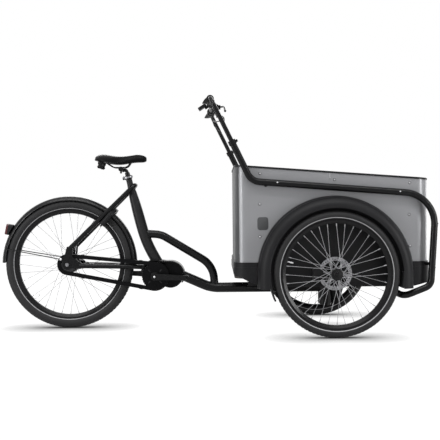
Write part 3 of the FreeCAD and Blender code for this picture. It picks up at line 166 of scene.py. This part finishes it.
# in each row: colour, roughness, metallic, specular, grain, bump, vary, then spread and coat where they aren't usual
finishRows = {
    "powderCoat": ((0.0028, 0.0028, 0.0032), 0.24, 0.0, 0.16, 1400.0, 0.04, 0.2, 0.04),
    # the seat tube's row: the other tubes' black paint made paler, a painted sheen down the tube
    "broadTube": ((0.0145, 0.0145, 0.0150), 0.36, 0.0, 0.12, 1400.0, 0.04, 0.1, 0.04),
    "blackAnodised": ((0.004, 0.004, 0.0044), 0.30, 0.1, 0.18, 1800.0, 0.06, 0.2),
    "mouldedBlack": ((0.0090, 0.0090, 0.0098), 0.44, 0.0, 0.11, 700.0, 0.12, 0.2),
    "glossFender": ((0.004, 0.004, 0.0044), 0.28, 0.0, 0.20, 900.0, 0.05, 0.2, 0.05),
    "darkSteel": ((0.040, 0.040, 0.042), 0.36, 1.0, 0.5, 700.0, 0.06, 0.2),
    "greySteel": ((0.22, 0.22, 0.23), 0.34, 1.0, 0.5, 700.0, 0.05, 0.1),
    "brightSteel": ((0.60, 0.60, 0.61), 0.30, 1.0, 0.5, 500.0, 0.04, 0.06),
    "spokeSteel": ((0.30, 0.30, 0.31), 0.34, 1.0, 0.5, 800.0, 0.02, 0.08),
    "rotorSteel": ((0.25, 0.25, 0.26), 0.26, 1.0, 0.5, 1200.0, 0.10, 0.15),
    "greyLacquer": ((0.195, 0.197, 0.205), 0.34, 0.25, 0.4, 2400.0, 0.04, 0.03, 0.04),
    # rivetGrey: paler than the panels' grey, a painted highlight on the rivet heads
    "rivetGrey": ((0.34, 0.34, 0.35), 0.30, 0.5, 0.5, 900.0, 0.04, 0.05),
    "darkLacquer": ((0.045, 0.046, 0.048), 0.46, 0.0, 0.3, 2200.0, 0.05, 0.08),
    "phenolicPly": ((0.026, 0.022, 0.020), 0.55, 0.0, 0.3, 300.0, 0.15, 0.2),
    "softRubber": ((0.006, 0.006, 0.006), 0.60, 0.0, 0.2, 1100.0, 0.25, 0.2),
    "tyreRubber": ((0.0075, 0.0075, 0.008), 0.62, 0.0, 0.24, 650.0, 0.22, 0.25),
    "caseBlack": ((0.0026, 0.0026, 0.0030), 0.34, 0.0, 0.06, 800.0, 0.10, 0.2),
    "redLens": ((0.055, 0.005, 0.006), 0.16, 0.0, 0.4, 200.0, 0.03, 0.1, 0.04, 0.3),
    "saddleVinyl": ((0.0026, 0.0026, 0.0029), 0.36, 0.0, 0.055, 520.0, 0.04, 0.2),
}
finishes = {name: newFinish(name, *row) for name, row in finishRows.items()}

wears = {
    # the seat tube wears the paler black, a painted sheen
    "broadTube": "seat_tube",
    "powderCoat": "loop_tube main_beam steering_head motor_bracket chain_stays seat_stays dropouts front_chassis "
                  "hub_carriers side_rails rail_fittings handlebar rear_rim left_rim right_rim fender_stays "
                  "saddle_rails",
    "blackAnodised": "crank_right crank_left brake_calipers lever_bodies brake_lever_left brake_lever_right seat_post "
                     "seat_clamp rear_hub left_hub right_hub",
    "caseBlack": "chain_case motor_housing",
    "mouldedBlack": "wheel_arches lower_skirt top_trim tail_light_housing ring_lock control_unit",
    "glossFender": "rear_fender",
    "darkSteel": "drive_chain chainring rear_sprocket",
    "greySteel": "seat_clamp_lever rear_axle",
    "spokeSteel": "rear_spokes left_spokes right_spokes",
    "rotorSteel": "left_rotor right_rotor",
    "greyLacquer": "side_panels front_panel",
    "darkLacquer": "rear_panel",
    "phenolicPly": "box_floor",
    "softRubber": "grips saddle_bumpers brake_hoses saddle",
    "tyreRubber": "rear_tyre left_tyre right_tyre",
    "redLens": "tail_light_lens",
}


def putFinish(name, mat):
    mesh = nodes[name].data
    mesh.materials.clear()
    mesh.materials.append(mat)


for finish, names in wears.items():
    for name in names.split():
        putFinish(name, finishes[finish])
for which in ("left", "right"):
    putFinish(which + "_rotor", turnedSteel(which + "Turned", finishes["rotorSteel"], axles[which], turnedSet))
print("finishes on", sum(len(names.split()) for names in wears.values()), "nodes")


def gridMesh(name, points, closedU, closedV):
    # points is (copies, rows, columns, 3); each cell of each grid is one face, wrapped where a direction is closed
    copies, rows, cols = points.shape[:3]
    u = np.arange(rows if closedU else rows - 1)
    v = np.arange(cols if closedV else cols - 1)
    a, b = np.meshgrid(u, v, indexing="ij")
    a2, b2 = (a + 1) % rows, (b + 1) % cols
    one = np.stack([a * cols + b, a * cols + b2, a2 * cols + b2, a2 * cols + b], axis=-1).reshape(1, -1, 4)
    starts = np.arange(copies) * rows * cols
    faces = (one + starts.reshape(-1, 1, 1)).reshape(-1, 4).tolist()
    if closedV and not closedU:  # one face closes each end of a tube
        ring = np.arange(cols)
        faces += (starts[:, None] + ring[::-1]).tolist() + (starts[:, None] + (rows - 1) * cols + ring).tolist()
    mesh = bpy.data.meshes.new(name)
    mesh.from_pydata(points.reshape(-1, 3).tolist(), [], faces)
    mesh.polygons.foreach_set("use_smooth", np.ones(len(faces), dtype=bool))
    piece = bpy.data.objects.new(name, mesh)
    bpy.context.scene.collection.objects.link(piece)
    return piece


def fullTurn(count):
    return np.linspace(0, 2 * math.pi, count, endpoint=False)


def squared(wave, power):
    # a sine or cosine bent so that the pair traces |x|^n + |z|^n = 1
    return np.sign(wave) * np.abs(wave) ** (2 / power)


# tyres: radius over the tread and bead radius in metres, then the stripe's share of the way from bead to tread
tyreSizes = {"rear": (0.3335, 0.281, 0.15), "left": (0.300, 0.258, 0.23), "right": (0.300, 0.258, 0.23)}
tyreSet = {"around": 900, "across": 60, "inside": 14, "insideShare": 0.93, "wall": 0.004, "neckHalf": 0.0125,
           "neckHeight": 0.004, "tread": 0.0017, "blocks": 92, "slant": 5.0, "blockEdge": 14.0, "blockLevel": 0.55,
           "ringAt": 0.30, "ringWidth": 0.05, "shoulderEdge": 18.0, "shoulderAt": 0.95, "stripe": 0.0013,
           "stripeColour": (0.38, 0.38, 0.39, 1.0)}


def stripedRubber(values):
    # the rubber finish with a pale reflective ring where the mesh's stripe value is high
    mat = finishes["tyreRubber"].copy()
    mat.name = "stripedTyre"
    tree = mat.node_tree
    shader = tree.nodes["Principled BSDF"]
    under = shader.inputs["Base Color"].links[0].from_socket
    stripe = tree.nodes.new("ShaderNodeAttribute")
    stripe.attribute_name = "stripe"
    mix = colourMix(tree)
    mix.inputs[mixPort["second"]].default_value = values["stripeColour"]
    tree.links.new(stripe.outputs["Fac"], mix.inputs[mixPort["factor"]])
    tree.links.new(under, mix.inputs[mixPort["first"]])
    tree.links.new(mix.outputs[mixPort["result"]], shader.inputs["Base Color"])
    return mat


def makeTyre(which, values, mat):
    # section: an arc over the tread, straight beads and an inner arc, carried round the axle; slanted cross grooves and
    # two ring grooves are cut into the tread and fade out at the shoulder
    outer, bead, share = tyreSizes[which]
    half, neck = values["neckHalf"], bead + values["neckHeight"]
    rise = outer - neck
    bow = (rise ** 2 + half ** 2) / (2 * rise)
    reach = math.pi - math.asin(half / bow)
    phi = np.linspace(-reach, reach, values["across"])
    arcR, arcY = outer - bow + bow * np.cos(phi), bow * np.sin(phi)
    foot = half - values["wall"]
    inner = np.linspace(reach * values["insideShare"], -reach * values["insideShare"], values["inside"])
    inR = outer - bow + (bow - values["wall"]) * np.cos(inner)
    inY = (bow - values["wall"]) * np.sin(inner)
    radius = np.concatenate([arcR, [bead, bead], inR, [bead, bead]])
    width = np.concatenate([arcY, [half, foot], inY, [-foot, -half]])
    turn = fullTurn(values["around"])
    t, f = np.meshgrid(turn, phi, indexing="ij")
    slant = np.cos(values["blocks"] * t + values["slant"] * np.abs(f))
    cross = 1 / (1 + np.exp(-values["blockEdge"] * (slant - values["blockLevel"])))
    ring = np.exp(-((np.abs(f) - values["ringAt"]) / values["ringWidth"]) ** 2)
    shoulder = 1 / (1 + np.exp(values["shoulderEdge"] * (np.abs(f) - values["shoulderAt"])))
    cut = values["tread"] * np.maximum(cross, ring) * shoulder
    r = np.repeat(radius[None, :], len(turn), axis=0)
    y = np.repeat(width[None, :], len(turn), axis=0)
    n = len(phi)
    r[:, :n] -= cut * np.cos(f)
    y[:, :n] -= cut * np.sin(f)
    cx, cy, cz = axles[which]
    a = turn[:, None]
    points = np.stack([cx + r * np.cos(a), cy + y, cz + r * np.sin(a)], axis=-1)
    piece = gridMesh(which + "Tyre", points[None], True, True)
    level = bead + share * (outer - bead)
    band = np.exp(-((radius - level) / values["stripe"]) ** 4) * (np.abs(width) > foot)
    band[n:] = 0.0
    piece.data.attributes.new("stripe", "FLOAT", "POINT").data.foreach_set("value", np.tile(band, len(turn)))
    piece.data.materials.append(mat)
    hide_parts(which + "_tyre")
    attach(piece, which + "_wheel")


striped = stripedRubber(tyreSet)
for which in axles:
    makeTyre(which, tyreSet, striped)
print("tyres made")

# saddle: a foam pad under vinyl, blown out gently from a slightly smaller copy of its solid; lengths in metres
saddleSet = {"merge": 0.00005, "shrink": 0.0022, "voxel": 0.004, "settle": 6, "pressure": 4.0, "cap": 0.0025,
             "steps": 20}


def applyModifier(obj, name):
    with bpy.context.temp_override(object=obj, active_object=obj, selected_objects=[obj]):
        bpy.ops.object.modifier_apply(modifier=name)


def blow(pad, start, values):
    # cloth under pressure, then each point held within the cap of where it began
    cloth = pad.modifiers.new("blow", "CLOTH")
    cloth.settings.use_pressure = True
    cloth.settings.uniform_pressure_force = values["pressure"]
    cloth.settings.effector_weights.gravity = 0.0
    cloth.point_cache.frame_end = values["steps"]
    for step in range(1, values["steps"] + 1):
        bpy.context.scene.frame_set(step)
    shaped = pad.evaluated_get(bpy.context.evaluated_depsgraph_get())
    ends = np.empty(len(shaped.data.vertices) * 3)
    shaped.data.vertices.foreach_get("co", ends)
    move = ends.reshape(-1, 3) - start
    size = np.maximum(np.linalg.norm(move, axis=1, keepdims=True), 1e-9)
    pad.modifiers.remove(cloth)
    bpy.context.scene.frame_set(1)
    pad.data.vertices.foreach_set("co", (start + move * np.minimum(1.0, values["cap"] / size)).ravel())
    pad.data.update()


def makeSaddle(values):
    work = bmesh.new()
    work.from_mesh(nodes["saddle"].data)
    bmesh.ops.remove_doubles(work, verts=work.verts, dist=values["merge"])
    mesh = bpy.data.meshes.new("saddlePad")
    work.to_mesh(mesh)
    work.free()
    pad = bpy.data.objects.new("saddlePad", mesh)
    bpy.context.scene.collection.objects.link(pad)
    bpy.context.view_layer.objects.active = pad
    remesh = pad.modifiers.new("even", "REMESH")
    remesh.mode = "VOXEL"
    remesh.voxel_size = values["voxel"]
    settle = pad.modifiers.new("settle", "SMOOTH")
    settle.iterations = values["settle"]
    for name in ("even", "settle"):
        applyModifier(pad, name)
    count = len(pad.data.vertices)
    start, normal = np.empty(count * 3), np.empty(count * 3)
    pad.data.vertices.foreach_get("co", start)
    pad.data.vertex_normals.foreach_get("vector", normal)
    start = start.reshape(-1, 3) - normal.reshape(-1, 3) * values["shrink"]
    pad.data.vertices.foreach_set("co", start.ravel())
    blow(pad, start, values)
    subdiv = pad.modifiers.new("fine", "SUBSURF")
    subdiv.levels = subdiv.render_levels = 1
    pad.data.polygons.foreach_set("use_smooth", np.ones(len(pad.data.polygons), dtype=bool))
    pad.data.materials.clear()
    pad.data.materials.append(finishes["saddleVinyl"])
    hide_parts("saddle")
    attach(pad, "seat")


makeSaddle(saddleSet)
print("saddle made")

# round heads: a ring profile turned about each head's own axis, domed as the square root of one less the ring squared
headSet = {"rings": 6, "around": 16, "sink": 0.0012, "tip": 0.02}


def makeHeads(name, body, mat, places, axes, radius, rise, values):
    ring = np.linspace(1.0, values["tip"], values["rings"])
    height = np.concatenate([[-values["sink"]], rise * np.sqrt(1 - ring ** 2)])
    reach = radius * np.concatenate([[1.0], ring])
    turn = fullTurn(values["around"])
    out = np.asarray(axes, float)[:, None, None, :]
    upright = np.array([0.0, 0.0, 1.0])
    side = np.cross(upright, out)
    circle = side * np.cos(turn)[None, None, :, None] + upright * np.sin(turn)[None, None, :, None]
    centres = np.asarray(places, float)[:, None, None, :]
    points = centres + out * height[None, :, None, None] + circle * reach[None, :, None, None]
    piece = gridMesh(name, points, False, True)
    piece.data.materials.append(mat)
    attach(piece, body)


def bothSides(places, reach):
    # the same x and z on both sides of the vehicle, facing outwards
    spots = [(x, side * reach, z) for side in (-1, 1) for x, z in places]
    axes = [(0.0, side, 0.0) for side in (-1, 1) for place in places]
    return spots, axes


# panel rivets: columns near the panel's ends and one beside the middle seam, on both sides; x and z in metres
rivetSet = {"radius": 0.0050, "rise": 0.0026, "washer": 0.0072, "washerShare": 0.3,
            "places": ((0.243, 0.781), (0.241, 0.634), (0.241, 0.478), (0.599, 0.748), (0.958, 0.730), (0.955, 0.579),
                       (0.958, 0.4285))}
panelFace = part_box("side_panels")[1][1]
rivetPlaces, rivetAxes = bothSides(rivetSet["places"], panelFace)
# a thin dark disc under each rivet head, wider than the head: painted shade in the gap round its edge
makeHeads("rivetWashers", "front_module", finishes["darkLacquer"], rivetPlaces, rivetAxes,
          rivetSet["washer"], rivetSet["rise"] * rivetSet["washerShare"], headSet)
# the rivet heads in a paler grey than the panel: a painted highlight
makeHeads("panelRivets", "front_module", finishes["rivetGrey"], rivetPlaces, rivetAxes,
          rivetSet["radius"], rivetSet["rise"], headSet)

# rail bolts: bright heads on the rails' outer faces, larger black ones on the front legs
boltSet = {"radius": 0.0036, "rise": 0.0022, "seat": 0.0004, "outer": ((0.323, 0.736), (0.905, 0.6885)),
           "legRadius": 0.0062, "legRise": 0.0058, "railRadius": 0.016, "front": ((1.0824, 0.5344), (1.0692, 0.3247))}
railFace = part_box("side_rails")[1][1]
outerPlaces, outerAxes = bothSides(boltSet["outer"], railFace - boltSet["seat"])
makeHeads("railBolts", "front_module", finishes["brightSteel"], outerPlaces, outerAxes,
          boltSet["radius"], boltSet["rise"], headSet)
frontPlaces = bothSides(boltSet["front"], railFace - boltSet["railRadius"])[0]
frontAxes = [(1.0, 0.0, 0.0) for place in frontPlaces]
makeHeads("legBolts", "front_module", finishes["powderCoat"], frontPlaces, frontAxes,
          boltSet["legRadius"], boltSet["legRise"], headSet)

# drive screws: one in each end of the crank's axle, and one at the foot of each fender stay, set from the rear axle
screwSet = {"radius": 0.0060, "rise": 0.0022, "stayRadius": 0.0072, "stayRise": 0.0062, "stayFoot": (-0.034, 0.028)}
crankAt, rearAt = joints["crank_spin"]["pos_m"], axles["rear"]
crankPlaces = [(crankAt[0], corner[1], crankAt[2]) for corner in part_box("crank_left")]
stayPlaces = [(rearAt[0] + screwSet["stayFoot"][0], corner[1], rearAt[2] + screwSet["stayFoot"][1])
              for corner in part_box("dropouts")]
endAxes = [(0.0, -1.0, 0.0), (0.0, 1.0, 0.0)]
makeHeads("crankScrews", "crank_set", finishes["brightSteel"], crankPlaces, endAxes,
          screwSet["radius"], screwSet["rise"], headSet)
makeHeads("stayScrews", "rear_frame", finishes["brightSteel"], stayPlaces, endAxes,
          screwSet["stayRadius"], screwSet["stayRise"], headSet)
print("heads made")

# brake hoses: one smooth line each, from the lever to the bar's upright, held at both ends; the route is given from the
# bar's x and z, in metres, for the left side
hoseSet = {"bar": (0.00829, 0.0, 1.143), "diameter": 0.0052, "length": 0.421, "round": 4, "fine": 16, "order": 3,
           "route": ((0.020, 0.120, -0.010), (0.010, 0.0697, -0.014), (0.008, 0.04505, -0.050),
                     (0.014, 0.0799, -0.088), (0.040, 0.230, -0.098), (0.058, 0.323, -0.108), (0.062, 0.363, -0.116))}


def makeHose(name, side, values):
    route = (np.array(values["bar"]) + np.array(values["route"])) * (1.0, side, 1.0)
    curve = bpy.data.curves.new(name, "CURVE")
    curve.dimensions = "3D"
    curve.bevel_depth = values["diameter"] / 2
    curve.bevel_resolution = values["round"]
    curve.use_fill_caps = True
    curve.resolution_u = values["fine"]
    spline = curve.splines.new("NURBS")
    spline.points.add(len(route) - 1)
    spline.points.foreach_set("co", np.column_stack([route, np.ones(len(route))]).ravel())
    spline.order_u = values["order"]
    spline.use_endpoint_u = True
    piece = bpy.data.objects.new(name, curve)
    bpy.context.scene.collection.objects.link(piece)
    curve.materials.append(finishes["softRubber"])
    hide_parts("brake_hoses")
    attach(piece, "steering_bar")


makeHose("leftHose", 1.0, hoseSet)
makeHose("rightHose", -1.0, hoseSet)
print("hoses made")

# motor cover: an oval section carried along the housing's upper rear edge; path in x and z, metres
coverSet = {"path": ((-0.352, 0.288), (-0.342, 0.312), (-0.318, 0.330), (-0.280, 0.339), (-0.240, 0.338),
                     (-0.205, 0.326)),
            "tall": 0.013, "deep": 0.030, "along": 48, "around": 24, "smooth": 6, "bluff": 6, "tip": 0.0004}


def makeCover(values):
    path = np.array(values["path"])
    knots = np.concatenate([[0.0], np.cumsum(np.linalg.norm(np.diff(path, axis=0), axis=1))])
    share = np.linspace(0.0, 1.0, values["along"])
    line = np.stack([np.interp(share * knots[-1], knots, path[:, k]) for k in (0, 1)], axis=1)
    for step in range(values["smooth"]):
        line[1:-1] = (line[:-2] + 2 * line[1:-1] + line[2:]) / 4  # rounds the corners
    ahead = np.gradient(line, axis=0)
    ahead /= np.linalg.norm(ahead, axis=1, keepdims=True)
    # full along the run and nearly nothing at both ends
    swell = np.sqrt(np.clip(1 - np.abs(2 * share - 1) ** values["bluff"], values["tip"], 1.0))
    turn = -fullTurn(values["around"])
    lift = values["tall"] * swell[:, None] * np.cos(turn)[None, :]
    y = values["deep"] * swell[:, None] * np.sin(turn)[None, :]
    x = line[:, :1] - ahead[:, 1:] * lift
    z = line[:, 1:] + ahead[:, :1] * lift
    piece = gridMesh("motorCover", np.stack([x, y, z], axis=-1)[None], False, True)
    piece.data.materials.append(finishes["caseBlack"])
    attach(piece, "rear_frame")


makeCover(coverSet)
print("motor cover made")

# floor seal: a slim upright section, |x|^n + |z|^n = 1, that follows the floor's rear edge round both corners, behind
# the skirt; metres
sealSet = {"corner": 0.063, "inset": 0.0026, "half": 0.0022, "tall": 0.0085, "rise": 0.0070, "reach": 0.030,
           "power": 4.0, "along": 28, "around": 24}


def makeSeal(values):
    low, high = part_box("box_floor")
    radius = values["corner"] - values["inset"]
    centreX, centreY = low[0] + values["corner"], high[1] - values["corner"]
    # the path: along one side, a quarter circle, the straight back, a quarter circle, along the other side
    bend = np.linspace(math.pi / 2, math.pi, values["along"])
    cosine, sine = np.cos(bend), np.sin(bend)
    oneX, oneY = centreX + radius * cosine, centreY + radius * sine
    far = centreX + values["reach"]
    pathX = np.concatenate([[far], oneX, oneX[::-1], [far]])
    pathY = np.concatenate([[centreY + radius], oneY, -oneY[::-1], [-centreY - radius]])
    outX = np.concatenate([[0.0], cosine, cosine[::-1], [0.0]])
    outY = np.concatenate([[1.0], sine, -sine[::-1], [-1.0]])
    turn = -fullTurn(values["around"])
    wide = values["half"] * squared(np.cos(turn), values["power"])
    lift = values["tall"] * squared(np.sin(turn), values["power"])
    x = pathX[:, None] + outX[:, None] * wide[None, :]
    y = pathY[:, None] + outY[:, None] * wide[None, :]
    z = np.repeat((high[2] + values["rise"] + lift)[None, :], len(pathX), axis=0)
    piece = gridMesh("floorSeal", np.stack([x, y, z], axis=-1)[None], False, True)
    piece.data.materials.append(finishes["mouldedBlack"])
    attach(piece, "front_module")


makeSeal(sealSet)
print("floor seal made")

# valves: a nut, a stem and a cap turned about a line from the rim towards the axle; each place has an angle in degrees
# and two radii in metres, and the profile's steps are a share of the way and a thickness
valveSet = {"rear": (225.0, 0.264, 0.226), "left": (165.0, 0.241, 0.211), "right": (165.0, 0.241, 0.211)}
valveShape = {"around": 16, "share": (0.0, 0.0, 0.10, 0.10, 0.55, 0.58, 0.62, 0.95, 1.0, 1.0),
              "thick": (0.0002, 0.0042, 0.0042, 0.0024, 0.0024, 0.0030, 0.0034, 0.0034, 0.0027, 0.0002)}


def makeValve(which, place, values):
    angle, outer, inner = place
    t = math.radians(angle)
    along = np.array([math.cos(t), 0.0, math.sin(t)])
    across = np.array([0.0, 1.0, 0.0])
    beside = np.cross(along, across)
    far = outer + (inner - outer) * np.array(values["share"])
    thick = np.array(values["thick"])
    turn = fullTurn(values["around"])[None, :, None]
    circle = across * np.cos(turn) - beside * np.sin(turn)
    points = np.asarray(axles[which]) + along * far[:, None, None] + circle * thick[:, None, None]
    piece = gridMesh(which + "Valve", points[None], False, True)
    piece.data.materials.append(finishes["brightSteel"])
    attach(piece, which + "_wheel")


for which, place in valveSet.items():
    makeValve(which, place, valveShape)
print("valves made")

# plate on the near panel: a rounded oblong, |x|^n + |z|^n = 1, with a bevelled edge; each ring of its profile has a
# share of the size and a height over the panel in metres
plateSet = {"centre": (0.255, 0.541), "half": (0.026, 0.031), "power": 5.0, "around": 64,
            "size": (1.0, 1.0, 0.975, 0.01), "height": (-0.0004, 0.00098, 0.0014, 0.0014)}


def makePlate(values):
    turn = fullTurn(values["around"])
    x, z = squared(np.cos(turn), values["power"]), squared(np.sin(turn), values["power"])
    size, height = np.array(values["size"])[:, None], np.array(values["height"])[:, None]
    points = np.stack([values["centre"][0] + values["half"][0] * size * x[None, :],
                       np.repeat(-panelFace - height, len(turn), axis=1),
                       values["centre"][1] + values["half"][1] * size * z[None, :]], axis=-1)
    piece = gridMesh("plainPlate", points[None], False, True)
    piece.data.materials.append(finishes["darkLacquer"])
    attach(piece, "front_module")


makePlate(plateSet)
print("plate made")

# plain studio: a pale floor that reads white, with painted contact shadows where something stands close over it, under
# soft lamps aimed at one point
studioSet = {"reach": 20.0, "floor": 0.86, "seen": 0.06, "lift": 0.99, "contact": 0.17, "fall": 3.0, "samples": 24,
             "aim": (0.2, 0.0, 0.5), "world": 0.25}
sunSet = {"place": (-0.3, -1.6, 4.0), "power": 1.45, "angle": 50.0}
lampRows = {  # place and power, then width and height, in metres
    "topLamp": ((0.2, -1.9, 3.1), 48.0, (5.0, 0.16)),
    "rearSide": ((-3.4, -2.6, 1.2), 85.0, (0.35, 2.4)),
    "frontSide": ((3.8, -2.4, 1.2), 85.0, (0.35, 2.4)),
    "farFill": ((0.2, 3.8, 2.6), 85.0, (4.0, 1.2)),
    "farRear": ((-3.4, 2.6, 1.2), 24.0, (0.35, 2.4)),
    "farFront": ((3.8, 2.4, 1.2), 24.0, (0.35, 2.4)),
}


def liftForCamera(mat, values):
    # where the camera looks, the floor gives its own white light instead of most of the lamps', less where something
    # stands close over it, so it reads white with painted contact shadows: soft dark patches round the tyres' feet
    tree = mat.node_tree
    shader = tree.nodes["Principled BSDF"]
    path = tree.nodes.new("ShaderNodeLightPath")
    paint = colourMix(tree)
    paint.inputs[mixPort["second"]].default_value = (values["seen"],) * 3 + (1.0,)
    under = shader.inputs["Base Color"].links[0].from_socket
    tree.links.new(path.outputs["Is Camera Ray"], paint.inputs[mixPort["factor"]])
    tree.links.new(under, paint.inputs[mixPort["first"]])
    tree.links.new(paint.outputs[mixPort["result"]], shader.inputs["Base Color"])
    # occlusion near the floor dims its white glow: this is the painted contact shadow
    near = tree.nodes.new("ShaderNodeAmbientOcclusion")
    near.samples = values["samples"]
    near.inputs["Distance"].default_value = values["contact"]
    clear = mathNode(tree, "POWER")
    clear.inputs[1].default_value = values["fall"]
    scaled = mathNode(tree, "MULTIPLY")
    scaled.inputs[1].default_value = values["lift"]
    gain = mathNode(tree, "MULTIPLY")
    shader.inputs["Emission Color"].default_value = (1, 1, 1, 1)
    tree.links.new(near.outputs["AO"], clear.inputs[0])
    tree.links.new(clear.outputs[0], scaled.inputs[0])
    tree.links.new(path.outputs["Is Camera Ray"], gain.inputs[0])
    tree.links.new(scaled.outputs[0], gain.inputs[1])
    tree.links.new(gain.outputs[0], shader.inputs["Emission Strength"])


def layFloor(values):
    ends = np.array([-values["reach"], values["reach"]])
    x, y = np.meshgrid(ends, ends)  # a flat square at ground height
    points = np.stack([x.ravel(), y.ravel(), np.zeros(4)], axis=1)
    mesh = bpy.data.meshes.new("floor")
    mesh.from_pydata(points.tolist(), [], [(0, 1, 3, 2)])
    floor = bpy.data.objects.new("floor", mesh)
    bpy.context.scene.collection.objects.link(floor)
    pale = newFinish("paleFloor", (values["floor"],) * 3, roughness=0.9, specular=0.0, grain=60.0, bump=0.0, vary=0.01)
    liftForCamera(pale, values)
    mesh.materials.append(pale)


def addLamp(name, data, place, power, aim):
    data.energy = power
    lamp = bpy.data.objects.new(name, data)
    lamp.location = place
    lamp.rotation_euler = (Vector(aim) - Vector(place)).to_track_quat("-Z", "Y").to_euler()
    bpy.context.scene.collection.objects.link(lamp)


def hangLamps(values):
    sun = bpy.data.lights.new("sunLamp", "SUN")
    sun.angle = math.radians(sunSet["angle"])
    addLamp("sunLamp", sun, sunSet["place"], sunSet["power"], values["aim"])
    for name, (place, power, shape) in lampRows.items():
        data = bpy.data.lights.new(name, "AREA")
        data.shape = "RECTANGLE"
        data.size, data.size_y = shape
        addLamp(name, data, place, power, values["aim"])


def paintWorld(values):
    # white where it is seen, mirrored or seen through, and a weak even light otherwise
    world = bpy.data.worlds.new("studio")
    bpy.context.scene.world = world
    world.use_nodes = True
    tree = world.node_tree
    light = tree.nodes["Background"]
    white = tree.nodes.new("ShaderNodeBackground")
    for shader, strength in ((light, values["world"]), (white, 1.0)):
        shader.inputs["Color"].default_value = (1, 1, 1, 1)
        shader.inputs["Strength"].default_value = strength
    path = tree.nodes.new("ShaderNodeLightPath")
    mix = tree.nodes.new("ShaderNodeMixShader")
    seen, both = mathNode(tree, "MAXIMUM"), mathNode(tree, "MAXIMUM")
    tree.links.new(path.outputs["Is Camera Ray"], seen.inputs[0])
    tree.links.new(path.outputs["Is Glossy Ray"], seen.inputs[1])
    tree.links.new(seen.outputs[0], both.inputs[0])
    tree.links.new(path.outputs["Is Transmission Ray"], both.inputs[1])
    tree.links.new(both.outputs[0], mix.inputs[0])
    tree.links.new(light.outputs[0], mix.inputs[1])
    tree.links.new(white.outputs[0], mix.inputs[2])
    tree.links.new(mix.outputs[0], tree.nodes["World Output"].inputs["Surface"])


layFloor(studioSet)
hangLamps(studioSet)
paintWorld(studioSet)
bpy.context.scene.view_settings.view_transform = "Standard"
print("studio set")
